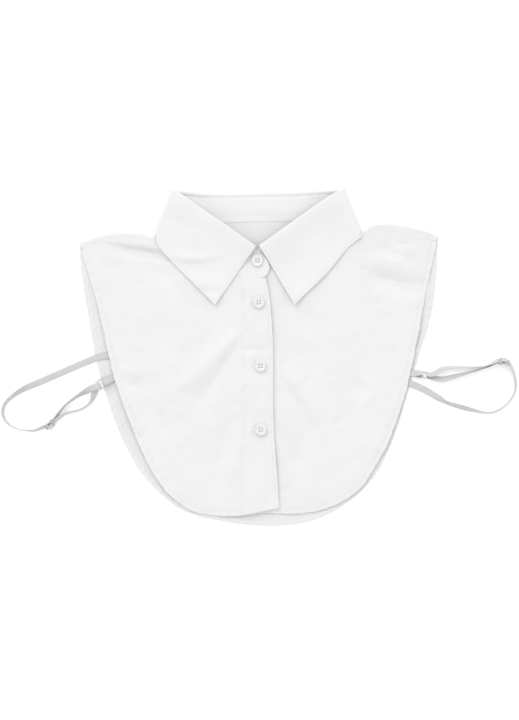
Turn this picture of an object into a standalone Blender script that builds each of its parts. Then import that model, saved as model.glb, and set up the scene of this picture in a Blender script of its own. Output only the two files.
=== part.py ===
"""Detachable shirt collar, laid flat and face up.

Neck towards +Y, face up towards +Z, the wearer's right on -X. The origin is
under the middle of the bib, on the surface that it lies on. All sizes below
are millimetres, and MM turns them into the scene's metres.

From the table up: fall of the collar at the back, collar stand and back panel,
front panels (the wearer's right one over the left one), placket, collar wings.
"""
import math

import bmesh
import bpy
import numpy as np

MM = 0.001

# Driving sizes
CLOTH = 1.0            # wall of every cut piece
GAP = 0.3              # clear space from one piece to the next
PLY = CLOTH + GAP      # rise from one layer to the layer on it
SEAM = 0.25            # half of the space between two pieces sewn edge to edge
DOME = 3.1             # how far the fronts bulge over the back
HEM_LIFT = 1.7         # underside of the fronts at the hem
HALF_WIDTH = 165.0     # where the bulge dies out to the sides
DROP = 215.0           # and how far below the shoulders it dies out
OVERLAP_EDGE = -20.0   # the right front is fully on the left one past here
STRAP_WIDTH = 6.2
STRAP_THICKNESS = 0.8
TAB_THICKNESS = 0.6
BUTTON_DIAMETER = 11.4
BUTTON_THICKNESS = 2.4
HOLE_RADIUS = 0.75
HOLE_OFFSET = 1.35     # from the button's middle, both ways
WIRE = 1.1             # ring wire and slider bars
FLOOR_GAP = 0.1        # straps clear the table by this much

# Outlines: x, y. Shoulder rows run from the neck out to the shoulder tip.
BACK_OUTLINE = [
    (-171.0, 105.7), (-169.6, 82.2), (-163.4, 42.3), (-154.4, -7.1), (-143.9, -42.3),
    (-129.7, -80.3), (-107.8, -116.4), (-73.6, -145.8), (-32.8, -156.8), (12.8, -161.0),
    (53.7, -154.8), (87.9, -135.8), (110.7, -111.6), (126.8, -79.3), (139.2, -41.3),
    (149.6, -5.2), (162.0, 34.7), (167.7, 72.7), (170.0, 113.5),
]
BACK_NECK = [(-91.7, 130.9), (-56.5, 127.5), (-2.4, 129.2), (57.5, 130.3), (88.3, 133.7)]
SHOULDER_FOLD = {
    "left": [(-91.9, 130.4), (-95.0, 121.1), (-97.1, 115.4), (-100.9, 111.6), (-105.9, 112.6),
             (-115.9, 115.0), (-130.2, 115.4), (-142.0, 114.5), (-153.9, 112.6),
             (-165.8, 109.0), (-171.0, 105.7)],
    "right": [(88.5, 133.3), (91.7, 124.0), (93.8, 118.3), (97.1, 115.6), (101.6, 118.4),
              (106.9, 122.4), (111.6, 123.7), (122.1, 124.4), (133.5, 123.0),
              (144.9, 120.9), (156.3, 118.5), (170.0, 113.5)],
}
SHOULDER_SEAM = {
    "left": [(-59.4, 106.9), (-75.5, 102.1), (-94.5, 100.7), (-113.5, 103.7),
             (-136.3, 107.6), (-154.4, 109.2), (-169.1, 103.1)],
    "right": [(55.6, 107.8), (74.6, 103.5), (94.5, 102.1), (113.5, 105.0),
              (136.3, 108.3), (154.4, 112.1), (168.6, 110.7)],
}
FRONT_OUTLINE = {
    "left": [(-169.1, 103.1), (-165.3, 86.9), (-156.8, 58.4), (-149.6, 29.9), (-143.4, 1.4),
             (-136.3, -26.1), (-120.2, -69.8), (-107.8, -98.3), (-94.5, -121.1),
             (-79.3, -137.3), (-60.3, -148.2), (-32.8, -151.8), (-6.2, -150.0),
             (18.7, -143.7)],
    "right": [(168.6, 110.7), (165.8, 95.5), (158.2, 61.3), (151.5, 24.2), (144.9, -8.1),
              (138.2, -36.6), (124.9, -75.5), (115.4, -95.5), (105.0, -112.6),
              (95.5, -125.9), (72.7, -141.1), (48.0, -148.2), (29.0, -149.6),
              (-11.9, -148.2)],
}
FRONT_EDGE = {
    "left": [(6.2, 73.6), (9.0, 60.3), (11.2, 39.4), (13.0, 6.2), (13.0, -41.3),
             (13.8, -72.7), (16.4, -107.8), (18.7, -143.7)],
    "right": [(-9.0, 73.6), (-10.5, -37.0), (-11.9, -148.2)],
}
PLACKET_SEAM = [(-18.1, 76.4), (-15.7, 53.7), (-15.7, -41.3), (-16.6, -150.8)]
# Neck seam of the fronts, from the shoulder seam in to the centre front
FRONT_NECK = {
    "left": [(-59.4, 106.9), (-40.4, 92.6), (-21.4, 78.8), (-12.8, 75.0), (-3.3, 74.0),
             (6.2, 73.6)],
    "right": [(55.6, 107.8), (36.6, 92.6), (17.6, 78.8), (8.1, 75.0), (-1.4, 74.0),
              (-9.0, 73.6)],
}
STAND_SIDE = {"left": (-91.7, 130.9), "right": (88.3, 133.7)}

# Collar: the fold that the wings turn over, and their outer edge
FOLD_BACK = [(-80.8, 158.3), (-60.3, 155.9), (-37.5, 154.4), (-14.7, 154.8), (30.9, 156.0),
             (53.7, 157.4), (77.9, 158.7)]
FOLD_FRONT = {
    "left": [(-3.5, 104.4), (-29.0, 122.5), (-52.7, 138.7), (-80.8, 158.3)],
    "right": [(-0.3, 105.0), (32.8, 128.7), (60.3, 148.2), (77.9, 158.7)],
}
WING_EDGE = {
    "left": [(-42.3, 48.9), (-81.2, 87.9), (-95.9, 105.0), (-98.3, 114.1)],
    "right": [(33.2, 49.4), (63.2, 78.4), (83.1, 102.1), (96.4, 113.5), (94.5, 118.4)],
}
FALL_EDGE = [(-98.3, 114.1), (-66.0, 114.0), (-2.4, 114.5), (62.2, 115.9), (94.5, 118.4)]
# Ends of the stand past the wings, where it buttons: top edge, bottom edge
STAND_END = {
    "left": ([(7.6, 78.2), (10.0, 83.6), (9.3, 89.3), (6.2, 95.0), (1.9, 99.5)],
             [(4.3, 75.0), (1.9, 74.8), (-1.0, 74.7)]),
    "right": ([(-11.9, 78.4), (-14.0, 83.6), (-13.3, 89.3), (-10.4, 95.0), (-6.2, 99.5)],
              [(-8.1, 75.1), (-5.5, 75.0), (-2.5, 75.0)]),
}
STAND_TOP = 0.05       # share of the stand's height that the wings' fold takes up
TURN = 3.05            # bend of the wings round the sides, plan radius at mid wall
TURN_STEPS = 6         # flats in each of those bends
LIP = PLY + 0.3 * CLOTH    # top edge of the leaf, turned in over the stand

# Largest folds of the fronts: from x, y to x, y, half width, height
FRONT_FOLDS = [
    dict(x0=-18, y0=30, x1=-90, y1=-37, spread=12, height=0.8),
    dict(x0=-20, y0=-40, x1=-45, y1=-127, spread=13, height=-0.7),
    dict(x0=24, y0=-8, x1=59, y1=-65, spread=12, height=0.8),
    dict(x0=78, y0=-22, x1=105, y1=-41, spread=12, height=-0.5),
    dict(x0=40, y0=-72, x1=34, y1=-113, spread=12, height=-0.6),
    dict(x0=-132, y0=-15, x1=-109, y1=-17, spread=10, height=0.5),
    dict(x0=116, y0=77, x1=150, y1=68, spread=10, height=-0.5),
]

BUTTONS = [  # name, x, y, layers under it
    dict(name="button_collar", x=-2.0, y=91.0, layers=1),
    dict(name="button_1", x=-0.8, y=51.4, layers=2),
    dict(name="button_2", x=0.8, y=-9.0, layers=2),
    dict(name="button_3", x=1.2, y=-69.3, layers=2),
]

# Side straps. Rows are x, y, lift over the table, roll in degrees (0 flat, 90 on edge).
# outer: sewn end on the back panel, round the loop, to the slider
# near: slider to ring; back: ring to slider again
STRAPS = {
    "left": dict(
        ring=dict(x=-150.1, y=-26.1, z=4.1, heading=28, roll=-8, first=-1),
        slider=dict(x=-199.5, y=-65.3, z=5.2, heading=28, roll=58), tab=14.0,
        outer=[(-140.1, 1.9, 1.2, 0), (-147.7, 0.5, 1.2, 0), (-155.3, -1.2, 1.2, 0),
               (-162.0, -3.9, 0.8, 0), (-169.6, -7.1, 0.3, 0), (-177.2, -10.4, 0, 0),
               (-191.1, -16.5, 0, -3), (-206.9, -23.4, 0, -8), (-218.0, -28.0, 0, -22),
               (-227.5, -32.8, 0, -45), (-235.4, -38.4, 0, -58), (-241.0, -43.9, 0, -66),
               (-243.9, -50.8, 0, -70), (-243.2, -57.4, 0, -73), (-240.0, -62.4, 0, -77),
               (-234.4, -66.6, 0, -84), (-228.0, -69.0, 0, 88), (-221.4, -69.9, 0, 80),
               (-214.0, -70.3, 0.3, 70)],
        near=[(-189.5, -57.4, 0.8, 64), (-184.4, -54.2, 0.2, 72), (-177.6, -52.4, 0, 76),
              (-171.0, -50.6, 0, 76), (-164.8, -47.4, 0, 76), (-159.8, -42.4, 0, 64),
              (-157.2, -35.2, 0.4, 22)],
        back=[(-161.8, -31.3, 3.4, 16), (-168.9, -35.4, 1.6, 50), (-176.6, -40.3, 0.5, 66),
              (-183.0, -44.9, 0.2, 75), (-188.0, -50.4, 0.5, 72), (-191.4, -55.2, 1.2, 63)]),
    "right": dict(
        ring=dict(x=157.0, y=-17.5, z=4.3, heading=171, roll=50, first=1),
        slider=dict(x=232.6, y=-4.8, z=5.2, heading=163, roll=55), tab=20.0,
        outer=[(137.3, -22.9, 1.2, 0), (143.9, -25.6, 1.2, 0), (150.6, -28.6, 1.0, 0),
               (157.2, -31.7, 0.4, 0), (164.8, -36.0, 0, 6), (170.7, -39.7, 0, 26),
               (176.2, -43.0, 0, 56), (182.6, -45.5, 0, 53), (190.5, -47.7, 0, 47),
               (196.8, -49.5, 0, 47), (203.1, -51.1, 0, 58), (209.5, -52.6, 0, 70),
               (215.8, -53.4, 0, 76), (222.1, -52.9, 0, 76), (228.5, -50.2, 0, 76),
               (234.8, -45.5, 0, 76), (240.4, -38.6, 0, 74), (243.4, -31.2, 0, 68),
               (243.3, -23.0, 0, 64), (241.6, -14.8, 0.3, 62)],
        near=[(220.6, -6.4, 0.5, 72), (214.4, -8.8, 0, 82), (207.0, -9.7, 0, 82),
              (198.0, -9.8, 0, 78), (188.5, -9.8, 0, 70), (180.0, -10.4, 0.2, 60),
              (174.0, -11.6, 0.9, 54), (168.8, -14.4, 1.6, 50)],
        back=[(168.6, -21.1, 0.2, 42), (174.6, -21.5, 0, 40), (181.2, -20.0, 0, 46),
              (189.0, -18.0, 0, 58), (197.0, -15.9, 0, 70), (205.0, -13.8, 0, 80),
              (212.0, -11.8, 0, 86), (218.6, -9.2, 0.2, 76)]),
}


def smooth(value, start, stop):
    """0 before start, 1 after stop, an even slope between them."""
    share = min(1.0, max(0.0, (value - start) / (stop - start)))
    return share * share * (3.0 - 2.0 * share)


def front_folds(x, y):
    """Ridges and troughs of the fronts, faded out beside the placket."""
    height = 0.0
    for fold in FRONT_FOLDS:
        along_x = fold["x1"] - fold["x0"]
        along_y = fold["y1"] - fold["y0"]
        share = ((x - fold["x0"]) * along_x + (y - fold["y0"]) * along_y)
        share = min(1.0, max(0.0, share / (along_x ** 2 + along_y ** 2)))
        away = math.hypot(x - fold["x0"] - share * along_x, y - fold["y0"] - share * along_y)
        height += fold["height"] * math.exp(-(away / fold["spread"]) ** 2)
    return height * smooth(abs(x), 16.0, 44.0)


def front_height(x, y):
    """Underside of the front layer: a low dome that is highest at the neck."""
    fall_off = (abs(x) / HALF_WIDTH) ** 5
    if y < 60.0:
        fall_off += ((60.0 - y) / DROP) ** 4
    return HEM_LIFT + DOME * max(0.0, 1.0 - fall_off) + front_folds(x, y)


def back_height(x, y):
    """Underside of the back panel: on the table, or on the fall of the collar."""
    return PLY * smooth(y, 99.0, 111.0) * (1.0 - smooth(abs(x), 105.0, 124.0))


def right_front_rise(x):
    """Rise of the wearer's right front over the left one."""
    return PLY * smooth(x, OVERLAP_EDGE - 40.0, OVERLAP_EDGE)


def front_layer(x, y, layers=0.0):
    """Middle of a cloth wall in the front layer, or so many layers above it."""
    return front_height(x, y) + 0.5 * CLOTH + layers * PLY


def smooth_path(points, spacing=0.5):
    """Close points along a Catmull-Rom curve through rows of any width."""
    rows = [np.array(row, float) for row in points]
    rows = [2 * rows[0] - rows[1]] + rows + [2 * rows[-1] - rows[-2]]
    path = []
    for before, start, stop, after in zip(rows, rows[1:], rows[2:], rows[3:]):
        steps = max(2, int(math.ceil(np.linalg.norm((stop - start)[:2]) / spacing)))
        for step in range(steps):
            t = step / steps
            path.append(0.5 * (2 * start + (stop - before) * t
                               + (2 * before - 5 * start + 4 * stop - after) * t ** 2
                               + (3 * start - before - 3 * stop + after) * t ** 3))
    path.append(rows[-2])
    return np.array(path)


def even_rows(points, count, size=2):
    """So many rows, evenly spaced by the length of their first size columns."""
    path = smooth_path(points)
    steps = np.linalg.norm(np.diff(path[:, :size], axis=0), axis=1)
    travelled = np.concatenate([[0.0], np.cumsum(steps)])
    wanted = np.linspace(0.0, travelled[-1], count)
    return np.stack([np.interp(wanted, travelled, path[:, c]) for c in range(path.shape[1])], 1)


def patch(inner, outer, start, stop):
    """Coons patch: plan points between four sides, rows running from inner to outer."""
    rows = []
    for r, (left, right) in enumerate(zip(start, stop)):
        t = r / (len(start) - 1)
        row = []
        for c, (low, high) in enumerate(zip(inner, outer)):
            s = c / (len(inner) - 1)
            corners = ((1 - s) * (1 - t) * inner[0] + s * (1 - t) * inner[-1]
                       + (1 - s) * t * outer[0] + s * t * outer[-1])
            row.append((1 - t) * low + t * high + (1 - s) * left + s * right - corners)
        rows.append(row)
    return rows


def new_material(name, colour, roughness, metallic=0.0):
    material = bpy.data.materials.new(name)
    material.use_nodes = True
    shader = material.node_tree.nodes["Principled BSDF"]
    shader.inputs["Base Color"].default_value = (*colour, 1.0)
    shader.inputs["Roughness"].default_value = roughness
    shader.inputs["Metallic"].default_value = metallic
    return material


def add_object(name, mesh, material):
    item = bpy.data.objects.new(name, mesh)
    item.data.materials.append(material)
    COLLECTION.objects.link(item)
    return item


def cloth_wall(name, grid, material, thickness=CLOTH):
    """A sheet whose middle runs through a grid of points, given its thickness."""
    rows, columns = len(grid), len(grid[0])
    sheet = bmesh.new()
    bmesh.ops.create_grid(sheet, x_segments=columns - 1, y_segments=rows - 1, size=1.0)
    points = [point for row in grid for point in row]
    for vert, point in zip(sheet.verts, points):
        vert.co = [value * MM for value in point]
    mesh = bpy.data.meshes.new(name)
    sheet.to_mesh(mesh)
    sheet.free()
    item = add_object(name, mesh, material)
    solid = item.modifiers.new("cloth", "SOLIDIFY")
    solid.thickness = thickness * MM
    solid.offset = 0.0
    solid.use_even_offset = True
    return item


def shifted(points, dy):
    return [(x, y + dy) for x, y in points]


def outward_normals(points, sign):
    """Plan normals along a row of points, on the side that sign picks."""
    along = np.gradient(points, axis=0)
    along /= np.linalg.norm(along, axis=1)[:, None]
    return sign * np.stack([along[:, 1], -along[:, 0]], 1)


def half_turn(centre, outward, low, high, radius, steps):
    """Points of a bend from the height low, round the outside, to the height high."""
    middle, half = (low + high) / 2, (high - low) / 2
    points = []
    for step in range(steps + 1):
        angle = math.radians(-90.0 + 180.0 * step / steps)
        x, y = np.array(centre) + np.array(outward) * radius * math.cos(angle)
        points.append((x, y, middle + half * math.sin(angle)))
    return points


def shoulder_wrap(side, rows, fold_steps=4, flat_steps=2):
    """Back panel past the shoulder fold: round the bend and on to the shoulder seam."""
    fold = even_rows(SHOULDER_FOLD[side], rows)
    seam = even_rows(SHOULDER_SEAM[side], rows)
    outward = outward_normals(fold, 1 if side == "left" else -1)
    wrap = []
    for (x, y), end, normal in zip(fold, seam, outward):
        low = back_height(x, y) + 0.5 * CLOTH
        high = front_layer(x, y)
        points = half_turn((x, y), normal, low, high, (high - low) / 2, fold_steps)[1:]
        direction = (end - (x, y)) / np.linalg.norm(end - (x, y))
        last = end - direction * SEAM
        for step in range(1, flat_steps + 1):
            px, py = (x, y) + (last - (x, y)) * step / flat_steps
            points.append((px, py, front_layer(px, py)))
        wrap.append(points)
    return wrap


def make_back_panel(material):
    """One piece from hem to neck, with the shoulder extensions folded to the front."""
    rows, columns = 18, 28
    plan = patch(even_rows(shifted(BACK_NECK, -SEAM), columns),
                 even_rows(BACK_OUTLINE, columns),
                 even_rows(SHOULDER_FOLD["left"], rows),
                 even_rows(SHOULDER_FOLD["right"], rows))
    left = shoulder_wrap("left", rows)
    right = shoulder_wrap("right", rows)
    grid = []
    for row, before, after in zip(plan, left, right):
        flat = [(x, y, back_height(x, y) + 0.5 * CLOTH) for x, y in row]
        grid.append(before[::-1] + flat + after)
    cloth_wall("back_panel", grid, material)


def make_front(side, name, material):
    """A front, from the neck seam out to the armhole and hem."""
    rows, columns = 21, 23
    fold = even_rows(SHOULDER_FOLD[side], rows)
    seam = even_rows(SHOULDER_SEAM[side], rows)
    away = seam - fold
    seam = seam + SEAM * away / np.linalg.norm(away, axis=1)[:, None]
    neck = even_rows(shifted(FRONT_NECK[side], -SEAM), columns)
    neck[0] = seam[0]
    outline = even_rows(FRONT_OUTLINE[side], columns)
    outline[0] = seam[-1]
    edge = even_rows(FRONT_EDGE[side], rows)
    edge[0] = neck[-1]
    edge[-1] = outline[-1]
    rise = right_front_rise if side == "left" else (lambda x: 0.0)
    grid = [[(x, y, front_layer(x, y) + rise(x)) for x, y in row]
            for row in patch(neck, outline, seam, edge)]
    cloth_wall(name, grid, material)


def make_placket(material):
    """Button band on the wearer's right front, laid on the panel from its own heights."""
    rows, columns = 23, 4
    edge = even_rows(FRONT_EDGE["left"], rows)
    seam = even_rows(PLACKET_SEAM, rows)
    edge[0][1] -= SEAM
    seam[0][1] -= SEAM
    grid = []
    for inner, outer in zip(seam, edge):
        points = [inner + (outer - inner) * c / (columns - 1) for c in range(columns)]
        grid.append([(x, y, front_layer(x, y, 1) + right_front_rise(x)) for x, y in points])
    cloth_wall("placket", grid, material)


def side_direction(side):
    """Plan direction away from the neck across the side where the collar turns."""
    top = np.array(FOLD_FRONT[side][-1])
    low = np.array(WING_EDGE[side][-1])
    along = (low - top) / np.linalg.norm(low - top)
    return np.array((along[1], -along[0])) * (1 if side == "left" else -1)


def collar_angles(columns, back_columns):
    """Side of each column of a collar band, and how far it is turned over.

    The angle is a right angle on a wing, which faces up, and minus one at the back.
    """
    up = math.pi / 2
    turn = [up - math.pi * step / TURN_STEPS for step in range(1, TURN_STEPS)]
    return ([("left", up)] * columns + [("left", angle) for angle in turn]
            + [("left", -up)] * back_columns + [("right", angle) for angle in turn[::-1]]
            + [("right", up)] * columns)


def collar_band(top, low, heights, radius, shares):
    """Band that goes from one centre front, round the back, to the other.

    top and low hold plan rows for "left", "back" and "right"; heights holds the
    functions that give the wall's middle there; shares are the rows' places
    from the top row to the low one.
    """
    columns = []
    for part in ("left", "back", "right"):
        ahead = list(zip(top[part], low[part]))
        if part == "right":
            ahead = ahead[::-1]
        for upper, lower in ahead:
            column = []
            for share in shares:
                x, y = upper + (lower - upper) * share
                column.append((x, y, heights[part](x, y)))
            columns.append(column)
        if part == "right":
            continue
        side = "left" if part == "left" else "right"
        upper, lower = ahead[-1]
        bends = []
        for share in shares:
            x, y = upper + (lower - upper) * share
            bend = half_turn((x, y), side_direction(side), heights["back"](x, y),
                             heights[side](x, y), radius, TURN_STEPS)
            bends.append(bend[::-1] if side == "left" else bend)
        columns += [[bend[step] for bend in bends] for step in range(1, TURN_STEPS)]
    return [list(row) for row in zip(*columns)]


def make_collar_leaf(material):
    """Turned-down collar: both wings on top, the fall of it under the back."""
    columns, back_columns = 15, 21
    top = {side: even_rows(FOLD_FRONT[side], columns) for side in ("left", "right")}
    low = {side: even_rows(WING_EDGE[side], columns) for side in ("left", "right")}
    top["back"] = even_rows(FOLD_BACK, back_columns)
    low["back"] = even_rows(FALL_EDGE, back_columns)
    heights = {
        "left": lambda x, y: front_layer(x, y, 1) + right_front_rise(x),
        "right": lambda x, y: front_layer(x, y, 1) + PLY * (1.0 - smooth(x, 12.0, 48.0)),
        "back": lambda x, y: 0.5 * CLOTH,
    }
    shares = [r / 8 for r in range(9)]
    grid = collar_band(top, low, heights, TURN, shares)
    lip = []
    for (x, y, z), (side, angle) in zip(grid[0], collar_angles(columns, back_columns)):
        inward = side_direction(side) * LIP * math.cos(angle)
        lip.append((x - inward[0], y - inward[1], z - LIP * math.sin(angle)))
    cloth_wall("collar_leaf", [lip] + grid, material)


def make_collar_stand(material):
    """Band between the wings and the body, with its two ends lapped at the front."""
    columns, back_columns = 27, 21
    top, low = {}, {}
    for side in ("left", "right"):
        end_top, end_low = STAND_END[side]
        side_low = STAND_SIDE[side]
        top[side] = even_rows(end_top + FOLD_FRONT[side], columns)
        neck = [point for point in FRONT_NECK[side] if abs(point[0]) > 5.0][:4][::-1]
        low[side] = even_rows(end_low + shifted(neck + [side_low], SEAM), columns)
    top["back"] = even_rows(FOLD_BACK, back_columns)
    low["back"] = even_rows(shifted(BACK_NECK, SEAM), back_columns)
    heights = {
        "left": lambda x, y: front_layer(x, y) + right_front_rise(x),
        "right": lambda x, y: front_layer(x, y),
        "back": lambda x, y: PLY + 0.5 * CLOTH,
    }
    shares = [STAND_TOP + (1 - STAND_TOP) * r / 4 for r in range(5)]
    grid = collar_band(top, low, heights, TURN - PLY, shares)
    cloth_wall("collar_stand", grid, material)


def make_button(row, material):
    """Four-hole button: a turned disc with a raised rim, drilled four times."""
    radius, depth = BUTTON_DIAMETER / 2, BUTTON_THICKNESS
    seat = max(front_height(row["x"] + dx, row["y"] + dy) + right_front_rise(row["x"] + dx)
               for dx in (-5, 0, 5) for dy in (-5, 0, 5))
    base = seat + row["layers"] * PLY + GAP
    profile = [(0.0, 0.55 * depth), (0.55 * radius, 0.55 * depth), (0.75 * radius, depth),
               (0.9 * radius, 0.92 * depth), (radius, 0.6 * depth), (0.8 * radius, 0.0),
               (0.0, 0.0)]
    turned = bmesh.new()
    verts = [turned.verts.new((x * MM, 0.0, z * MM)) for x, z in profile]
    edges = [turned.edges.new(pair) for pair in zip(verts, verts[1:])]
    bmesh.ops.spin(turned, geom=verts + edges, axis=(0, 0, 1), cent=(0, 0, 0),
                   angle=2 * math.pi, steps=22, use_merge=True)
    bmesh.ops.remove_doubles(turned, verts=turned.verts, dist=0.00001)
    bmesh.ops.recalc_face_normals(turned, faces=turned.faces)
    mesh = bpy.data.meshes.new(row["name"])
    turned.to_mesh(mesh)
    turned.free()
    button = add_object(row["name"], mesh, material)
    button.location = (row["x"] * MM, row["y"] * MM, base * MM)
    drill = bmesh.new()
    for dx in (-1, 1):
        for dy in (-1, 1):
            made = bmesh.ops.create_cone(drill, cap_ends=True, segments=8, depth=8 * MM,
                                         radius1=HOLE_RADIUS * MM, radius2=HOLE_RADIUS * MM)
            bmesh.ops.translate(drill, verts=made["verts"],
                                vec=(dx * HOLE_OFFSET * MM, dy * HOLE_OFFSET * MM, 0.0))
    drill_mesh = bpy.data.meshes.new(row["name"] + "_drill")
    drill.to_mesh(drill_mesh)
    drill.free()
    cutter = bpy.data.objects.new(row["name"] + "_drill", drill_mesh)
    cutter.location = button.location
    cutter.hide_render = True
    cutter.display_type = "WIRE"
    CUTTERS.objects.link(cutter)
    holes = button.modifiers.new("holes", "BOOLEAN")
    holes.object = cutter
    holes.operation = "DIFFERENCE"


class Frame:
    """Local axes of a ring or slider: along the strap, across it, and off its face."""

    def __init__(self, x, y, z, heading, roll):
        turn, tilt = math.radians(heading), math.radians(roll)
        self.centre = np.array((x, y, z))
        self.along = np.array((math.cos(turn), math.sin(turn), 0.0))
        left = np.array((-math.sin(turn), math.cos(turn), 0.0))
        self.across = math.cos(tilt) * left + math.sin(tilt) * np.array((0.0, 0.0, 1.0))
        self.off = np.cross(self.along, self.across)

    def point(self, along, across, off):
        return self.centre + along * self.along + across * self.across + off * self.off

    def station(self, along, off):
        """A place on the strap, with the direction of its width."""
        return (*self.point(along, 0.0, off), *self.across)


def free_stations(rows, lean=1):
    """Stations of a strap that lies loose: each rests on the table, or lift above it.

    lean is -1 where the strap runs back, so that both legs lean the same way.
    """
    rows = np.array(rows, float) * (1, 1, 1, lean)
    along = np.gradient(rows[:, :2], axis=0)
    stations = []
    for (x, y, lift, roll), (dx, dy) in zip(rows, along):
        length = math.hypot(dx, dy)
        tilt = math.radians(roll)
        z = FLOOR_GAP + lift + (STRAP_WIDTH * abs(math.sin(tilt))
                                + STRAP_THICKNESS * abs(math.cos(tilt))) / 2
        across = (-dy / length * math.cos(tilt), dx / length * math.cos(tilt), math.sin(tilt))
        stations.append((x, y, z, *across))
    return stations


# Steps along a strap, where it is near a ring or slider and where it twists
NEAR_SPACING = 1.0
TWIST_SPACING = 0.9
SAME_WAY = 0.985       # cosine of a twist too small to need a step of its own


def ribbon(name, stations, material, width, thickness, spacing=3.4):
    """Flat band along a smooth line, its width turned as each station says."""
    stations = [np.array(row, float) for row in stations]
    for before, row in zip(stations, stations[1:]):
        if np.dot(before[3:], row[3:]) < 0.0:
            row[3:] *= -1.0
    path = smooth_path(stations, 0.4)
    kept = [path[0]]
    for row in path[1:-1]:
        bend = np.linalg.norm(row[:3] - kept[-1][:3])
        turned = np.dot(row[3:], kept[-1][3:]) / np.linalg.norm(row[3:]) \
            / np.linalg.norm(kept[-1][3:])
        widest = NEAR_SPACING if near_hardware(row[:3]) else spacing
        if bend > widest or turned < SAME_WAY and bend > TWIST_SPACING:
            kept.append(row)
    kept.append(path[-1])
    points = np.array([row[:3] for row in kept])
    along = np.gradient(points, axis=0)
    grid = []
    for point, row, direction in zip(points, kept, along):
        direction = direction / np.linalg.norm(direction)
        across = row[3:] - np.dot(row[3:], direction) * direction
        across = across / np.linalg.norm(across) * width / 2
        under = abs(across[2]) + thickness / 2 * math.hypot(across[0], across[1]) / (width / 2)
        point = point + (0.0, 0.0, max(0.0, FLOOR_GAP + under - point[2]))
        grid.append([point - across, point + across])
    cloth_wall(name, grid, material, thickness)


def near_hardware(point):
    """True within a ring or slider, where a strap needs its points close together."""
    for strap in STRAPS.values():
        for part in (strap["ring"], strap["slider"]):
            if math.hypot(point[0] - part["x"], point[1] - part["y"]) < 8.0:
                return True
    return False


def make_ring(name, frame, material):
    """Ring of round wire, a little square, so that flat straps lie well in it."""
    half_along, half_across, squareness, count = 3.4, 4.2, 3.6, 28
    curve = bpy.data.curves.new(name, "CURVE")
    curve.dimensions = "3D"
    curve.bevel_depth = WIRE / 2 * MM
    curve.bevel_resolution = 2
    spline = curve.splines.new("POLY")
    spline.points.add(count - 1)
    spline.use_cyclic_u = True
    for step, point in enumerate(spline.points):
        angle = 2 * math.pi * step / count
        c, s = math.cos(angle), math.sin(angle)
        a = math.copysign(half_along * abs(c) ** (2 / squareness), c)
        b = math.copysign(half_across * abs(s) ** (2 / squareness), s)
        point.co = (*(frame.point(a, b, 0.0) * MM), 1.0)
    add_object(name, curve, material)


def make_slider(name, frame, material):
    """Flat slider: a frame with a middle bar, so that it has two slots."""
    along = [-5.0, -3.9, -0.55, 0.55, 3.9, 5.0]
    across = [-4.5, -3.4, 3.4, 4.5]
    plate = bmesh.new()
    bmesh.ops.create_grid(plate, x_segments=len(along) - 1, y_segments=len(across) - 1,
                          size=1.0)
    places = [(a, b) for b in across for a in along]
    slots = [face for face in plate.faces
             if abs(abs(face.calc_center_median().x) - 0.4) < 0.05
             and abs(face.calc_center_median().y) < 0.05]
    bmesh.ops.delete(plate, geom=slots, context="FACES")
    for vert, (a, b) in zip(plate.verts, places):
        vert.co = frame.point(a, b, 0.0) * MM
    mesh = bpy.data.meshes.new(name)
    plate.to_mesh(mesh)
    plate.free()
    slider = add_object(name, mesh, material)
    wall = slider.modifiers.new("plate", "SOLIDIFY")
    wall.thickness = 0.9 * MM
    wall.offset = 0.0
    edge = slider.modifiers.new("edges", "BEVEL")
    edge.width = 0.22 * MM
    edge.segments = 1
    edge.limit_method = "ANGLE"


# Routes through the hardware, as along, off its face
THROUGH_SLIDER = [(-6.6, -1.3), (-4.5, -1.3), (-3.3, -0.75), (-2.55, 0.5), (-1.6, 1.85),
                  (0.0, 2.45), (1.6, 1.85), (2.55, 0.5), (3.3, -0.75), (4.5, -1.3),
                  (6.6, -1.35)]
ROUND_BAR = [(6.6, -2.7), (4.5, -2.6), (2.4, -2.1), (1.0, -1.45), (0.0, -1.25), (-0.9, -0.9),
             (-1.3, 0.0), (-0.9, 0.9), (0.0, 1.25), (0.7, 1.2)]
ROUND_RING = [(-6.0, 1.75), (-3.9, 1.7), (-2.6, 1.35), (-1.8, 0.6), (-1.7, 0.0),
              (-1.8, -0.6), (-2.6, -1.35), (-3.9, -1.7), (-6.0, -1.75)]
TAB_HALF = [(11.0, 0.45), (9.0, 0.65), (6.8, 1.15), (5.0, 1.6), (3.6, 1.6), (2.5, 1.25),
            (1.8, 0.6), (1.7, 0.0)]


def make_strap(side, strap, cloth, hardware):
    """One elastic strap with its slider, ring and the tab that holds the ring."""
    ring_row = dict(strap["ring"])
    first = ring_row.pop("first")
    ring = Frame(**ring_row)
    slider = Frame(**strap["slider"])
    stations = free_stations(strap["outer"])
    stations += [slider.station(a, n) for a, n in THROUGH_SLIDER]
    stations += free_stations(strap["near"])
    stations += [ring.station(a, n * first) for a, n in ROUND_RING]
    stations += free_stations(strap["back"], lean=-1)
    stations += [slider.station(a, n) for a, n in ROUND_BAR]
    ribbon("strap_" + side, stations, cloth, STRAP_WIDTH, STRAP_THICKNESS)
    make_ring("ring_" + side, ring, hardware)
    make_slider("slider_" + side, slider, hardware)
    make_tab("tab_" + side, ring_row, strap["tab"], cloth)


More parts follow.
